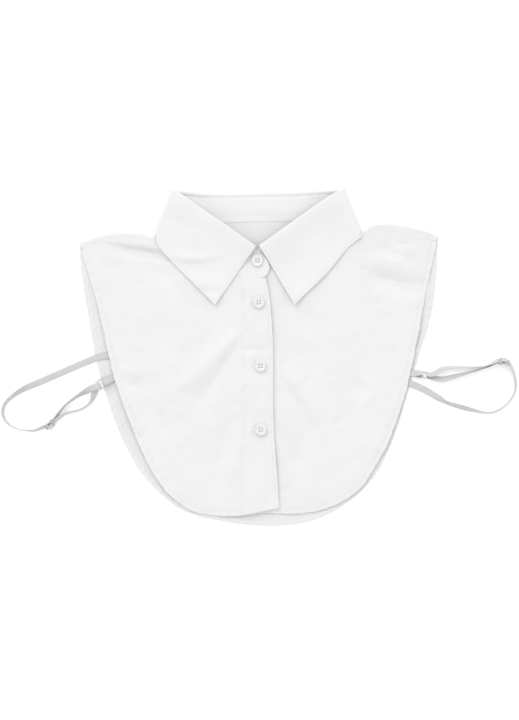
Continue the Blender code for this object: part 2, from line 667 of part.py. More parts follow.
def make_tab(name, ring_row, length, material):
    """Short strap folded through the ring, both ends under the edge of the front."""
    tail = PLY + TAB_THICKNESS + 0.5 * GAP
    upper = [(length, 0.45), (0.5 * length + 5.5, 0.45)] + TAB_HALF
    lower = [(along, -off) for along, off in upper[-2::-1]]
    stations = []
    for along, off in upper + lower:
        flat = smooth(along, 3.0, 13.0)
        settled = dict(ring_row)
        settled["z"] += (tail - settled["z"]) * flat
        settled["roll"] *= 1 - flat
        stations.append(Frame(**settled).station(along, off))
    ribbon(name, stations, material, STRAP_WIDTH, TAB_THICKNESS, 2.0)


for leftover in list(bpy.data.objects):
    bpy.data.objects.remove(leftover)
COLLECTION = bpy.data.collections.new("detachable_shirt_collar")
CUTTERS = bpy.data.collections.new("cutters")
bpy.context.scene.collection.children.link(COLLECTION)
bpy.context.scene.collection.children.link(CUTTERS)

cotton = new_material("white_cotton", (0.86, 0.86, 0.86), 0.85)
fused = new_material("stiffened_cotton", (0.88, 0.88, 0.88), 0.8)
elastic = new_material("white_elastic", (0.74, 0.74, 0.74), 0.7)
pearl = new_material("button_white", (0.85, 0.85, 0.84), 0.3)
clear = new_material("strap_fittings", (0.72, 0.72, 0.73), 0.25)

make_back_panel(cotton)
make_front("right", "front_left", cotton)
make_front("left", "front_right", cotton)
make_placket(cotton)
make_collar_stand(fused)
make_collar_leaf(fused)
for button_row in BUTTONS:
    make_button(button_row, pearl)
for strap_side, strap_rows in STRAPS.items():
    make_strap(strap_side, strap_rows, elastic, clear)
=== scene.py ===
# %% [markdown]
# # A detachable shirt collar, laid flat
# A false shirt collar is the part of a shirt that shows under a jumper: a pointed collar on
# a stand, a short bib in front and behind, buttons, and an elastic strap on each side. Here
# it lies face up on a table, and the camera looks straight down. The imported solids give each
# piece its place, so the script starts by loading them and keeping their box.

# %% Load the frame
import math

import bmesh
import bpy
import numpy as np
from mathutils import Matrix, Vector, kdtree
from mathutils.bvhtree import BVHTree


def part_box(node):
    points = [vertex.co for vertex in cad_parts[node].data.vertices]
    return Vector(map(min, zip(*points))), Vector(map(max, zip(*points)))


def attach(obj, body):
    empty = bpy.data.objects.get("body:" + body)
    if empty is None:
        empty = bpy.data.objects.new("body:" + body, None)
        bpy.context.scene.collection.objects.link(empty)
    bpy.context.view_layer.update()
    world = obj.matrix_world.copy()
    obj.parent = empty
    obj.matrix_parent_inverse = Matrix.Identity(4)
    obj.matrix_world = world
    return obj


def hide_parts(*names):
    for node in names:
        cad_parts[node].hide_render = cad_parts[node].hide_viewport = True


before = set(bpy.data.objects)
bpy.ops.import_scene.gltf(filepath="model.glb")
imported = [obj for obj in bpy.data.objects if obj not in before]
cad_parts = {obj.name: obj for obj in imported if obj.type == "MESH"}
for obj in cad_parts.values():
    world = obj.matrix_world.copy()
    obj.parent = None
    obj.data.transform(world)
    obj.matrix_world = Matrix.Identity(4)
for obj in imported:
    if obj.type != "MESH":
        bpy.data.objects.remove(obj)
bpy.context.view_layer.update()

# %% [markdown]
# ## Camera
# The photo is taken from straight above. A long lens far away keeps the outline from
# growing towards the edges of the picture, as a short lens close by would make it. One
# pixel of the picture is 0.95 mm on the table.

# %% Camera
MM = 0.001
PIXEL = 0.95 * MM
PICTURE_HEIGHT = 720
CAMERA_HEIGHT = 2.4
SENSOR = 36.0
PICTURE_MIDDLE = -0.0033   # Y under the middle of the picture
CLOTH_TOP = 0.004          # the lens is set for the cloth's upper face

camera_data = bpy.data.cameras.new("camera")
camera_data.sensor_width = SENSOR
camera_data.lens = SENSOR * CAMERA_HEIGHT / (PICTURE_HEIGHT * PIXEL)
camera_data.clip_end = 20.0
camera = bpy.data.objects.new("camera", camera_data)
camera.location = (0.0, PICTURE_MIDDLE, CAMERA_HEIGHT + CLOTH_TOP)
bpy.context.scene.collection.objects.link(camera)
bpy.context.scene.camera = camera
print("lens %.1f mm" % camera_data.lens)

# %% [markdown]
# ## Sizes that the pieces share
# Every piece is cut from the outlines below, in millimetres, with the neck towards +Y.
# "left" and "right" are the sides of the picture.

# %% Sizes and outlines
CLOTH = 1.0            # room that the solids leave for one cloth wall
GAP = 0.3              # between two walls
PLY = CLOTH + GAP      # from one layer to the next
SEAM = 0.25            # a panel stops this far short of the neck line
DOME = 3.1             # how far the fronts bulge over the back
HEM_LIFT = 1.7         # the fronts' lower face, above the table, at the hem
HALF_WIDTH = 165.0     # reach of the bulge to each side
DROP = 215.0           # and down towards the hem
OVERLAP_EDGE = -20.0   # X from which the upper front lies on the lower one
FLOOR_GAP = 0.1        # under the straps
WIRE = 1.1             # thickness of a ring
WALL = 0.95            # thickness of a hem; one ply has about half of it
BAND_WALL = 0.9        # thickness of a collar band

BACK_OUTLINE = [
    (-171.0, 105.7), (-169.6, 82.2), (-163.4, 42.3), (-154.4, -7.1), (-143.9, -42.3),
    (-129.7, -80.3), (-107.8, -116.4), (-73.6, -145.8), (-32.8, -156.8), (12.8, -161.0),
    (53.7, -154.8), (87.9, -135.8), (110.7, -111.6), (126.8, -79.3), (139.2, -41.3),
    (149.6, -5.2), (162.0, 34.7), (167.7, 72.7), (170.0, 113.5),
]
BACK_NECK = [(-91.7, 130.9), (-56.5, 127.5), (-2.4, 129.2), (57.5, 130.3), (88.3, 133.7)]
SHOULDER_FOLD = {
    "left": [(-91.9, 130.4), (-95.0, 121.1), (-97.1, 115.4), (-100.9, 111.6), (-105.9, 112.6),
             (-115.9, 115.0), (-130.2, 115.4), (-142.0, 114.5), (-153.9, 112.6),
             (-165.8, 109.0), (-171.0, 105.7)],
    "right": [(88.5, 133.3), (91.7, 124.0), (93.8, 118.3), (97.1, 115.6), (101.6, 118.4),
              (106.9, 122.4), (111.6, 123.7), (122.1, 124.4), (133.5, 123.0),
              (144.9, 120.9), (156.3, 118.5), (170.0, 113.5)],
}
SHOULDER_SEAM = {
    "left": [(-59.4, 106.9), (-75.5, 102.1), (-94.5, 100.7), (-113.5, 103.7),
             (-136.3, 107.6), (-154.4, 109.2), (-169.1, 103.1)],
    "right": [(55.6, 107.8), (74.6, 103.5), (94.5, 102.1), (113.5, 105.0),
              (136.3, 108.3), (154.4, 112.1), (168.6, 110.7)],
}
FRONT_OUTLINE = {
    "left": [(-169.1, 103.1), (-165.3, 86.9), (-156.8, 58.4), (-149.6, 29.9), (-143.4, 1.4),
             (-136.3, -26.1), (-120.2, -69.8), (-107.8, -98.3), (-94.5, -121.1),
             (-79.3, -137.3), (-60.3, -148.2), (-32.8, -151.8), (-6.2, -150.0),
             (18.7, -143.7)],
    "right": [(168.6, 110.7), (165.8, 95.5), (158.2, 61.3), (151.5, 24.2), (144.9, -8.1),
              (138.2, -36.6), (124.9, -75.5), (115.4, -95.5), (105.0, -112.6),
              (95.5, -125.9), (72.7, -141.1), (48.0, -148.2), (29.0, -149.6),
              (-11.9, -148.2)],
}
FRONT_EDGE = {
    "left": [(6.2, 73.6), (9.0, 60.3), (11.2, 39.4), (13.0, 6.2), (13.0, -41.3),
             (13.8, -72.7), (16.4, -107.8), (18.7, -143.7)],
    "right": [(-9.0, 73.6), (-10.5, -37.0), (-11.9, -148.2)],
}
PLACKET_SEAM = [(-18.1, 76.4), (-15.7, 53.7), (-15.7, -41.3), (-16.6, -150.8)]
FRONT_NECK = {
    "left": [(-59.4, 106.9), (-40.4, 92.6), (-21.4, 78.8), (-12.8, 75.0), (-3.3, 74.0),
             (6.2, 73.6)],
    "right": [(55.6, 107.8), (36.6, 92.6), (17.6, 78.8), (8.1, 75.0), (-1.4, 74.0),
              (-9.0, 73.6)],
}
STAND_SIDE = {"left": (-91.7, 130.9), "right": (88.3, 133.7)}
FOLD_BACK = [(-80.8, 158.3), (-60.3, 155.9), (-37.5, 154.4), (-14.7, 154.8), (30.9, 156.0),
             (53.7, 157.4), (77.9, 158.7)]
FOLD_FRONT = {
    "left": [(-3.5, 104.4), (-29.0, 122.5), (-52.7, 138.7), (-80.8, 158.3)],
    "right": [(-0.3, 105.0), (32.8, 128.7), (60.3, 148.2), (77.9, 158.7)],
}
WING_EDGE = {
    "left": [(-42.3, 48.9), (-81.2, 87.9), (-95.9, 105.0), (-98.3, 114.1)],
    "right": [(33.2, 49.4), (63.2, 78.4), (83.1, 102.1), (96.4, 113.5), (94.5, 118.4)],
}
FALL_EDGE = [(-98.3, 114.1), (-66.0, 114.0), (-2.4, 114.5), (62.2, 115.9), (94.5, 118.4)]
STAND_END = {
    "left": ([(7.6, 78.2), (10.0, 83.6), (9.3, 89.3), (6.2, 95.0), (1.9, 99.5)],
             [(4.3, 75.0), (1.9, 74.8), (-1.0, 74.7)]),
    "right": ([(-11.9, 78.4), (-14.0, 83.6), (-13.3, 89.3), (-10.4, 95.0), (-6.2, 99.5)],
              [(-8.1, 75.1), (-5.5, 75.0), (-2.5, 75.0)]),
}
TURN = 3.05            # radius of the collar's bends at the sides of the neck
print("outlines ready; the back's hem has", len(BACK_OUTLINE), "points")

# %% [markdown]
# ## Smooth rows
# Each cloth wall is a sheet of points in rows, so most of the work is to place rows: a smooth
# curve goes through an outline's points, and even steps are taken along it.

# %% Curve helpers
def smooth(value, start, stop):
    """0 before start, 1 after stop, an even slope between them."""
    share = np.clip((np.asarray(value, float) - start) / (stop - start), 0.0, 1.0)
    return share * share * (3.0 - 2.0 * share)


def smooth_path(points, spacing=0.5):
    """Close points along a smooth curve that goes through each given row."""
    rows = [np.array(row, float) for row in points]
    rows = [2 * rows[0] - rows[1]] + rows + [2 * rows[-1] - rows[-2]]
    path = []
    for before, start, stop, after in zip(rows, rows[1:], rows[2:], rows[3:]):
        steps = max(2, int(math.ceil(np.linalg.norm((stop - start)[:2]) / spacing)))
        for step in range(steps):
            t = step / steps
            path.append(0.5 * (2 * start + (stop - before) * t
                               + (2 * before - 5 * start + 4 * stop - after) * t ** 2
                               + (3 * start - before - 3 * stop + after) * t ** 3))
    path.append(rows[-2])
    return np.array(path)


def travelled(path, size=2):
    """Length gone at each point of a path."""
    steps = np.linalg.norm(np.diff(path[:, :size], axis=0), axis=1)
    return np.concatenate([[0.0], np.cumsum(steps)])


def rows_at(points, shares):
    """Rows at these shares of the length of a smooth path through points."""
    path = smooth_path(points)
    gone = travelled(path)
    wanted = np.asarray(shares) * gone[-1]
    return np.stack([np.interp(wanted, gone, path[:, c]) for c in range(path.shape[1])], 1)


def even_rows(points, count):
    return rows_at(points, np.linspace(0.0, 1.0, count))


def shares_for(length, step):
    """Shares a step apart, and closer by both ends, where an edge is rounded."""
    close = np.array((0.3, 0.8)) / length
    even = np.linspace(0.0, 1.0, int(length / step) + 1)
    return np.concatenate([even[:1], close, even[1:-1], 1.0 - close[::-1], even[-1:]])


def unit(rows):
    rows = np.asarray(rows, float)
    return rows / np.maximum(np.linalg.norm(rows, axis=-1, keepdims=True), 1e-9)


print("back hem %.0f mm long" % travelled(smooth_path(BACK_OUTLINE))[-1])

# %% [markdown]
# ## The straps
# Each side has one length of 6 mm flat elastic. It is sewn to the back's hem, runs in a loop
# to the slider, through it and on to a ring, turns round the ring and comes back to the
# slider's middle bar. The straps come before the cloth, because a strap has one real length
# and everything else has to leave room for it.

# %% Strap routes
STRAP_WIDTH = 6.2
STRAP_THICKNESS = 0.8
STRAPS = {  # rows: x, y, lift over the table, roll in degrees (0 flat, 90 on edge)
    "left": dict(
        ring=dict(x=-150.1, y=-26.1, z=4.1, heading=28, roll=-8), first=-1,
        slider=dict(x=-199.5, y=-65.3, z=5.2, heading=28, roll=58), tab=14.0,
        outer=[(-140.1, 1.9, 1.2, 0), (-147.7, 0.5, 1.2, 0), (-155.3, -1.2, 1.2, 0),
               (-162.0, -3.9, 0.8, 0), (-169.6, -7.1, 0.3, 0), (-177.2, -10.4, 0, 0),
               (-191.1, -16.5, 0, -3), (-206.9, -23.4, 0, -8), (-218.0, -28.0, 0, -22),
               (-227.5, -32.8, 0, -45), (-235.4, -38.4, 0, -58), (-241.0, -43.9, 0, -66),
               (-243.9, -50.8, 0, -70), (-243.2, -57.4, 0, -73), (-240.0, -62.4, 0, -77),
               (-234.4, -66.6, 0, -84), (-228.0, -69.0, 0, 88), (-221.4, -69.9, 0, 80),
               (-214.0, -70.3, 0.3, 70)],
        near=[(-189.5, -57.4, 0.8, 64), (-184.4, -54.2, 0.2, 72), (-177.6, -52.4, 0, 76),
              (-171.0, -50.6, 0, 76), (-164.8, -47.4, 0, 76), (-159.8, -42.4, 0, 64),
              (-157.2, -35.2, 0.4, 22)],
        back=[(-161.8, -31.3, 3.4, 16), (-168.9, -35.4, 1.6, 50), (-176.6, -40.3, 0.5, 66),
              (-183.0, -44.9, 0.2, 75), (-188.0, -50.4, 0.5, 72), (-191.4, -55.2, 1.2, 63)]),
    "right": dict(
        ring=dict(x=157.0, y=-17.5, z=4.3, heading=171, roll=50), first=1,
        slider=dict(x=232.6, y=-4.8, z=5.2, heading=163, roll=55), tab=20.0,
        outer=[(137.3, -22.9, 1.2, 0), (143.9, -25.6, 1.2, 0), (150.6, -28.6, 1.0, 0),
               (157.2, -31.7, 0.4, 0), (164.8, -36.0, 0, 6), (170.7, -39.7, 0, 26),
               (176.2, -43.0, 0, 56), (182.6, -45.5, 0, 53), (190.5, -47.7, 0, 47),
               (196.8, -49.5, 0, 47), (203.1, -51.1, 0, 58), (209.5, -52.6, 0, 70),
               (215.8, -53.4, 0, 76), (222.1, -52.9, 0, 76), (228.5, -50.2, 0, 76),
               (234.8, -45.5, 0, 76), (240.4, -38.6, 0, 74), (243.4, -31.2, 0, 68),
               (243.3, -23.0, 0, 64), (241.6, -14.8, 0.3, 62)],
        near=[(220.6, -6.4, 0.5, 72), (214.4, -8.8, 0, 82), (207.0, -9.7, 0, 82),
              (198.0, -9.8, 0, 78), (188.5, -9.8, 0, 70), (180.0, -10.4, 0.2, 60),
              (174.0, -11.6, 0.9, 54), (168.8, -14.4, 1.6, 50)],
        back=[(168.6, -21.1, 0.2, 42), (174.6, -21.5, 0, 40), (181.2, -20.0, 0, 46),
              (189.0, -18.0, 0, 58), (197.0, -15.9, 0, 70), (205.0, -13.8, 0, 80),
              (212.0, -11.8, 0, 86), (218.6, -9.2, 0.2, 76)]),
}
# Routes through the hardware, as along, off its face
THROUGH_SLIDER = [(-6.6, -1.3), (-4.5, -1.3), (-3.3, -0.75), (-2.55, 0.5), (-1.6, 1.85),
                  (0.0, 2.45), (1.6, 1.85), (2.55, 0.5), (3.3, -0.75), (4.5, -1.3),
                  (6.6, -1.35)]
ROUND_BAR = [(6.6, -2.7), (4.5, -2.6), (2.4, -2.1), (1.0, -1.45), (0.0, -1.25), (-0.9, -0.9),
             (-1.3, 0.0), (-0.9, 0.9), (0.0, 1.25), (0.7, 1.2)]
ROUND_RING = [(-6.0, 1.75), (-3.9, 1.7), (-2.6, 1.35), (-1.8, 0.6), (-1.7, 0.0),
              (-1.8, -0.6), (-2.6, -1.35), (-3.9, -1.7), (-6.0, -1.75)]
TAB_HALF = [(11.0, 0.45), (9.0, 0.65), (6.8, 1.15), (5.0, 1.6), (3.6, 1.6), (2.5, 1.25),
            (1.8, 0.6), (1.7, 0.0)]
print("routes ready for", list(STRAPS))

# %% [markdown]
# ## Along the route
# A curve with a bevel would do for a round cord. A flat strap also needs its twist, so each
# station gives a place and the direction of the strap's width. The rows that lie free rest on
# the table, and those in the hardware are measured from the ring's or slider's own axes.

# %% Strap lines
class Axes:
    """Local axes of a ring or slider: along the strap, across it, and off its face."""

    def __init__(self, x, y, z, heading, roll):
        turn, tilt = math.radians(heading), math.radians(roll)
        self.centre = np.array((x, y, z))
        self.along = np.array((math.cos(turn), math.sin(turn), 0.0))
        left = np.array((-math.sin(turn), math.cos(turn), 0.0))
        self.across = math.cos(tilt) * left + math.sin(tilt) * np.array((0.0, 0.0, 1.0))
        self.off = np.cross(self.along, self.across)

    def point(self, along, across, off):
        return self.centre + along * self.along + across * self.across + off * self.off

    def station(self, along, off):
        return (*self.point(along, 0.0, off), *self.across)


def free_stations(rows, lean=1):
    """Stations of a strap that lies loose: each rests on the table, or lift above it."""
    rows = np.array(rows, float) * (1, 1, 1, lean)
    along = np.gradient(rows[:, :2], axis=0)
    stations = []
    for (x, y, lift, roll), (dx, dy) in zip(rows, along):
        length, tilt = math.hypot(dx, dy), math.radians(roll)
        z = FLOOR_GAP + lift + (STRAP_WIDTH * abs(math.sin(tilt))
                                + STRAP_THICKNESS * abs(math.cos(tilt))) / 2
        across = (-dy / length * math.cos(tilt), dx / length * math.cos(tilt), math.sin(tilt))
        stations.append((x, y, z, *across))
    return stations


def swept_strap(stations, width, thickness, spacing):
    """Middle line of a strap, and the half width to each side of it."""
    stations = [np.array(row, float) for row in stations]
    for before, row in zip(stations, stations[1:]):
        if np.dot(before[3:], row[3:]) < 0.0:
            row[3:] *= -1.0
    path = smooth_path(stations, 0.4)
    count = int(travelled(path, 3)[-1] / spacing)
    gone = travelled(path, 3)
    wanted = np.linspace(0.0, gone[-1], count)
    path = np.stack([np.interp(wanted, gone, path[:, c]) for c in range(6)], 1)
    points = path[:, :3]
    along = unit(np.gradient(points, axis=0))
    across = path[:, 3:] - np.sum(path[:, 3:] * along, 1)[:, None] * along
    across = unit(across) * width / 2
    flat = np.hypot(across[:, 0], across[:, 1]) / (width / 2)
    under = np.abs(across[:, 2]) + thickness / 2 * flat
    points = points.copy()
    points[:, 2] += np.maximum(0.0, FLOOR_GAP + under - points[:, 2])
    return points, across


strap_lines = {}
for side, strap in STRAPS.items():
    ring, slider = Axes(**strap["ring"]), Axes(**strap["slider"])
    stations = free_stations(strap["outer"])
    stations += [slider.station(a, n) for a, n in THROUGH_SLIDER]
    stations += free_stations(strap["near"])
    stations += [ring.station(a, n * strap["first"]) for a, n in ROUND_RING]
    stations += free_stations(strap["back"], lean=-1)
    stations += [slider.station(a, n) for a, n in ROUND_BAR]
    strap_lines[side] = swept_strap(stations, STRAP_WIDTH, STRAP_THICKNESS, 0.9)
    print("strap", side, "is %.0f mm long" % travelled(strap_lines[side][0], 3)[-1])

# %% [markdown]
# ## One way to make every cloth wall
# Cloth is a thin shell. Its middle is a grid of points that a function places, and Solidify
# gives it thickness afterwards, so the sheet can be shaped as a single surface. A vertex group
# tells Solidify where the cloth is doubled, such as in a hem, and where an edge is rounded.
# The grid also gets a UV map in metres of cloth, so that the weave keeps its real scale and
# follows each piece's own grain. The modifier is applied, so that the turn at the rim can be
# marked sharp. Smooth shading across it would draw a dark outline round every piece. A short
# helper comes first: it puts any mesh in the scene, and all the other pieces use it too.

# %% Cloth wall helper
def linked(name, mesh, material=None, smooth_faces=True):
    """A new object at the origin, in the scene, with its material and smooth faces."""
    item = bpy.data.objects.new(name, mesh)
    bpy.context.scene.collection.objects.link(item)
    if material:
        mesh.materials.append(material)
    mesh.polygons.foreach_set("use_smooth", np.full(len(mesh.polygons), smooth_faces))
    return item


THIN = 0.15            # share of the thickness left at a feathered edge
SINGLE = 0.47          # weight of a single ply; a hem, at 1, has its whole thickness
print("one ply is %.2f of a hem's thickness" % (THIN + (1 - THIN) * SINGLE))


def cloth_wall(name, grid, material, thickness, plies=None, thin=THIN, grain=None):
    """A sheet through a grid of points in mm; plies is 1 where it is at its thickest."""
    grid = np.asarray(grid, float)
    rows, columns = grid.shape[:2]
    sheet = bmesh.new()
    bmesh.ops.create_grid(sheet, x_segments=columns - 1, y_segments=rows - 1, size=1.0)
    mesh = bpy.data.meshes.new(name)
    sheet.to_mesh(mesh)
    sheet.free()
    mesh.vertices.foreach_set("co", (grid.reshape(-1, 3) * MM).ravel())
    cloth = grid[..., :2] * MM if grain is None else np.asarray(grain, float) * MM
    corners = np.empty(len(mesh.loops), np.int32)
    mesh.loops.foreach_get("vertex_index", corners)
    layer = mesh.uv_layers.new(name="cloth")
    layer.data.foreach_set("uv", cloth.reshape(-1, 2)[corners].ravel())
    item = linked(name, mesh, material)
    mesh.update()
    wall = item.modifiers.new("thickness", "SOLIDIFY")
    wall.thickness = thickness * MM
    wall.offset = 0.0
    if plies is not None:
        group = item.vertex_groups.new(name="plies")
        levels = np.round(np.clip(plies, 0, 1).ravel() * 20).astype(int)
        for level in np.unique(levels):
            group.add(np.nonzero(levels == level)[0].tolist(), level / 20, "REPLACE")
        wall.vertex_group = group.name
        wall.thickness_vertex_group = thin
    depsgraph = bpy.context.evaluated_depsgraph_get()
    walled = bpy.data.meshes.new_from_object(item.evaluated_get(depsgraph),
                                             depsgraph=depsgraph)
    item.modifiers.clear()
    item.vertex_groups.clear()
    item.data = walled
    walled.name = name
    walled.set_sharp_from_angle(angle=math.radians(48))
    print(name, "%d x %d points" % (rows, columns))
    return item


# %% [markdown]
# ## Materials
# Every pattern here is made from nodes, so that it stays sharp close up, as an image of cloth
# would not. These helpers set a shader's plain values, add a node, stretch its coordinates
# and mix two tones.

# %% Material helpers
def new_material(name, colour, roughness, **sockets):
    """A Principled material with its plain values set on the shader itself."""
    material = bpy.data.materials.new(name)
    material.use_nodes = True
    shader = material.node_tree.nodes["Principled BSDF"]
    shader.inputs["Base Color"].default_value = (*colour, 1.0)
    shader.inputs["Roughness"].default_value = roughness
    for socket, value in sockets.items():
        shader.inputs[socket.replace("_", " ")].default_value = value
    return material, material.node_tree, shader


def put(tree, kind, **values):
    """A node; values name its input sockets, or with a leading set_ its own settings."""
    node = tree.nodes.new(kind)
    for key, value in values.items():
        if key.startswith("set_"):
            setattr(node, key[4:], value)
            continue
        name = int(key[1:]) if key[1:].isdigit() else key.replace("_", " ")
        socket = node.inputs[name]
        if isinstance(value, bpy.types.NodeSocket):
            tree.links.new(value, socket)
        else:
            socket.default_value = value
    return node


def stretched(tree, source, scale):
    """Coordinates scaled by a different amount each way, to stretch a texture."""
    return put(tree, "ShaderNodeMapping", Vector=source, Scale=scale).outputs["Vector"]


def noise_of(tree, vector, scale, detail=2.0, roughness=0.5):
    return put(tree, "ShaderNodeTexNoise", Vector=vector, Scale=scale, Detail=detail,
               Roughness=roughness).outputs["Fac"]


def tones(tree, shader, place, low, high):
    """Colour between two tones; low and high are each a place on the ramp and a colour."""
    ramp = put(tree, "ShaderNodeValToRGB", Fac=place)
    for element, (position, colour) in zip(ramp.color_ramp.elements, (low, high)):
        element.position = position
        element.color = (*colour, 1.0)
    tree.links.new(ramp.outputs["Color"], shader.inputs["Base Color"])


def math_of(tree, operation, a, b):
    return put(tree, "ShaderNodeMath", set_operation=operation, i0=a, i1=b).outputs[0]


print("material helpers ready")

# %% [markdown]
# ## Woven cotton
# The cloth is plain white poplin. Its threads are a quarter of a millimetre apart, so from
# above it only reads as a fine, slightly uneven surface. Two wave textures at right angles
# make the threads. Noise that is stretched along each direction makes some threads thicker
# than others, as spun cotton is, and a broad faint noise varies how white it is. The back's
# cotton is a darker copy of it: painted shade for the shadow the fronts' edges cast on it.

# %% Cotton
WAVE_BANDS = 3.18      # bands of a wave texture in one unit, at scale 1


def woven(name, colour, darker, roughness, pitch, depth, slub, **sockets):
    """Plain weave on the cloth's own UV: pitch is the space between threads, in metres."""
    material, tree, shader = new_material(name, colour, roughness, **sockets)
    cloth = put(tree, "ShaderNodeUVMap", set_uv_map="cloth").outputs["UV"]
    turns = 1.0 / (pitch * 2.0)
    weft, warp = (put(tree, "ShaderNodeTexWave", set_bands_direction=direction, Vector=cloth,
                      Scale=turns / WAVE_BANDS, Distortion=0.6, Detail=1.0,
                      Detail_Scale=2.0).outputs["Fac"] for direction in "XY")
    threads = math_of(tree, "MAXIMUM", weft, warp)
    slub_x = noise_of(tree, stretched(tree, cloth, (60.0, 2600.0, 1.0)), 1.0, 3.0)
    slub_y = noise_of(tree, stretched(tree, cloth, (2600.0, 60.0, 1.0)), 1.0, 3.0)
    uneven = math_of(tree, "ADD", slub_x, slub_y)
    height = math_of(tree, "ADD", math_of(tree, "MULTIPLY", threads, 0.5),
                     math_of(tree, "MULTIPLY", uneven, slub))
    bump = put(tree, "ShaderNodeBump", Strength=1.0, Distance=depth, Height=height)
    tree.links.new(bump.outputs["Normal"], shader.inputs["Normal"])
    broad = noise_of(tree, cloth, 26.0, 3.0, 0.6)
    mixed = math_of(tree, "ADD", math_of(tree, "MULTIPLY", broad, 0.6),
                    math_of(tree, "MULTIPLY", uneven, 0.35))
    tones(tree, shader, mixed, (0.42, darker), (0.78, colour))
    return material


POPLIN_PITCH = 0.00026
cotton = woven("white_poplin", (0.800, 0.800, 0.797), (0.765, 0.766, 0.765), 0.82,
               POPLIN_PITCH, 0.00006, 0.55, Sheen_Weight=0.12, Sheen_Roughness=0.5)
# painted shade: the same poplin in darker tones, for the shade the fronts cast on the back
painted_shade_back_cotton = woven("white_poplin_back_painted_shade", (0.779, 0.779, 0.776), (0.746, 0.747, 0.746), 0.82,
                    POPLIN_PITCH, 0.00006, 0.55, Sheen_Weight=0.12, Sheen_Roughness=0.5)
fused = woven("fused_poplin", (0.805, 0.805, 0.802), (0.772, 0.773, 0.772), 0.78,
              POPLIN_PITCH, 0.00005, 0.45, Sheen_Weight=0.10, Sheen_Roughness=0.5)
print("cotton threads every %.2f mm" % (POPLIN_PITCH / MM))

# %% [markdown]
# ## Elastic
# The straps are a knitted satin elastic: ribs across it every 0.6 mm, a smoother face than the
# cotton, and a little sheen. Its UV map runs along the strap, so the ribs turn with each twist.

# %% Elastic material
elastic, tree, shader = new_material("satin_elastic", (0.60, 0.60, 0.60), 0.48,
                                     Sheen_Weight=0.2, Sheen_Roughness=0.35)
along = put(tree, "ShaderNodeUVMap", set_uv_map="cloth").outputs["UV"]
ribs = put(tree, "ShaderNodeTexWave", set_bands_direction="Y", Vector=along, Scale=270.0,
           Distortion=0.3, Detail=1.0).outputs["Fac"]
cords = put(tree, "ShaderNodeTexWave", set_bands_direction="X", Vector=along, Scale=210.0,
            Distortion=0.2, Detail=1.0).outputs["Fac"]
knit = math_of(tree, "ADD", math_of(tree, "MULTIPLY", ribs, 0.7),
               math_of(tree, "MULTIPLY", cords, 0.5))
bump = put(tree, "ShaderNodeBump", Strength=0.8, Distance=0.00008, Height=knit)
tree.links.new(bump.outputs["Normal"], shader.inputs["Normal"])
mixed = math_of(tree, "ADD", math_of(tree, "MULTIPLY", knit, 0.5),
                math_of(tree, "MULTIPLY", noise_of(tree, along, 90.0), 0.5))
tones(tree, shader, mixed, (0.2, (0.50, 0.50, 0.505)), (0.8, (0.64, 0.64, 0.64)))
print("elastic ribs ready")

# %% [markdown]
# ## Strap pieces
# The sweep gives the middle line and the width. Seven points across leave room for a slight
# cup and for edges that are thinner than the middle. The same helper makes the short tab
# that folds round each ring and is sewn under the edge of the front.

# %% Straps and tabs
def strap_grid(points, across, cup=0.12):
    """Rows of seven points across a strap, with the cloth's own measure beside them."""
    places = np.linspace(-1.0, 1.0, 7)
    along = unit(np.gradient(points, axis=0))
    off = unit(np.cross(along, across))
    grid = (points[:, None] + across[:, None] * places[None, :, None]
            + off[:, None] * (cup * (0.5 - places ** 2))[None, :, None])
    gone = travelled(points, 3)
    width = np.linalg.norm(across[0])
    grain = np.stack(np.meshgrid(places * width, gone), -1)
    thick = np.tile(np.clip(1.25 - places ** 4, 0, 1), (len(points), 1))
    return grid, grain, thick


def as_piece(item, node):
    """Makes a finished piece stand for a node, and ride on the body."""
    if node:
        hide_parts(node)
    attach(item, "root")


def strap_piece(name, points, across, thickness):
    grid, grain, thick = strap_grid(points, across)
    return cloth_wall(name, grid, elastic, thickness, thick, 0.3, grain)


elastic_straps, ring_tabs = {}, {}
for side, strap in STRAPS.items():
    points, across = strap_lines[side]
    piece = strap_piece("elastic_" + side, points, across, 0.72)
    elastic_straps[side] = piece
    as_piece(piece, "strap_" + side)
    tail = PLY + 0.6 + 0.5 * GAP
    upper = [(strap["tab"], 0.45), (0.5 * strap["tab"] + 5.5, 0.45)] + TAB_HALF
    stations = []
    for a, off in upper + [(a, -off) for a, off in upper[-2::-1]]:
        flat = float(smooth(a, 3.0, 13.0))
        ring = dict(strap["ring"])
        ring["z"] = ring["z"] * (1 - flat) + tail * flat
        ring["roll"] *= 1 - flat
        stations.append(Axes(**ring).station(a, off))
    points, across = swept_strap(stations, STRAP_WIDTH, 0.6, 0.7)
    piece = strap_piece("ring_tab_" + side, points, across, 0.52)
    ring_tabs[side] = piece
    as_piece(piece, "tab_" + side)

# %% [markdown]
# ## Rings and sliders
# The ring is a round wire bent into a rounded square, which is a curve with a bevel. The
# slider is a moulded plate with two slots. It is cut from a grid of bars by deleting two
# faces, and then gets its thickness and rounded edges. Both are small, glossy and slightly
# grey, with moulding marks that only show as uneven gloss.

# %% Hardware
fitting, tree, shader = new_material("clear_nylon", (0.50, 0.51, 0.52), 0.2,
                                     Coat_Weight=0.5, Coat_Roughness=0.1, IOR=1.5)
place = put(tree, "ShaderNodeTexCoord").outputs["Object"]
cloud = noise_of(tree, place, 420.0, 3.0)
tones(tree, shader, cloud, (0.3, (0.42, 0.43, 0.44)), (0.7, (0.60, 0.61, 0.62)))
gloss = put(tree, "ShaderNodeMapRange", Value=cloud, To_Min=0.12, To_Max=0.32).outputs["Result"]
tree.links.new(gloss, shader.inputs["Roughness"])


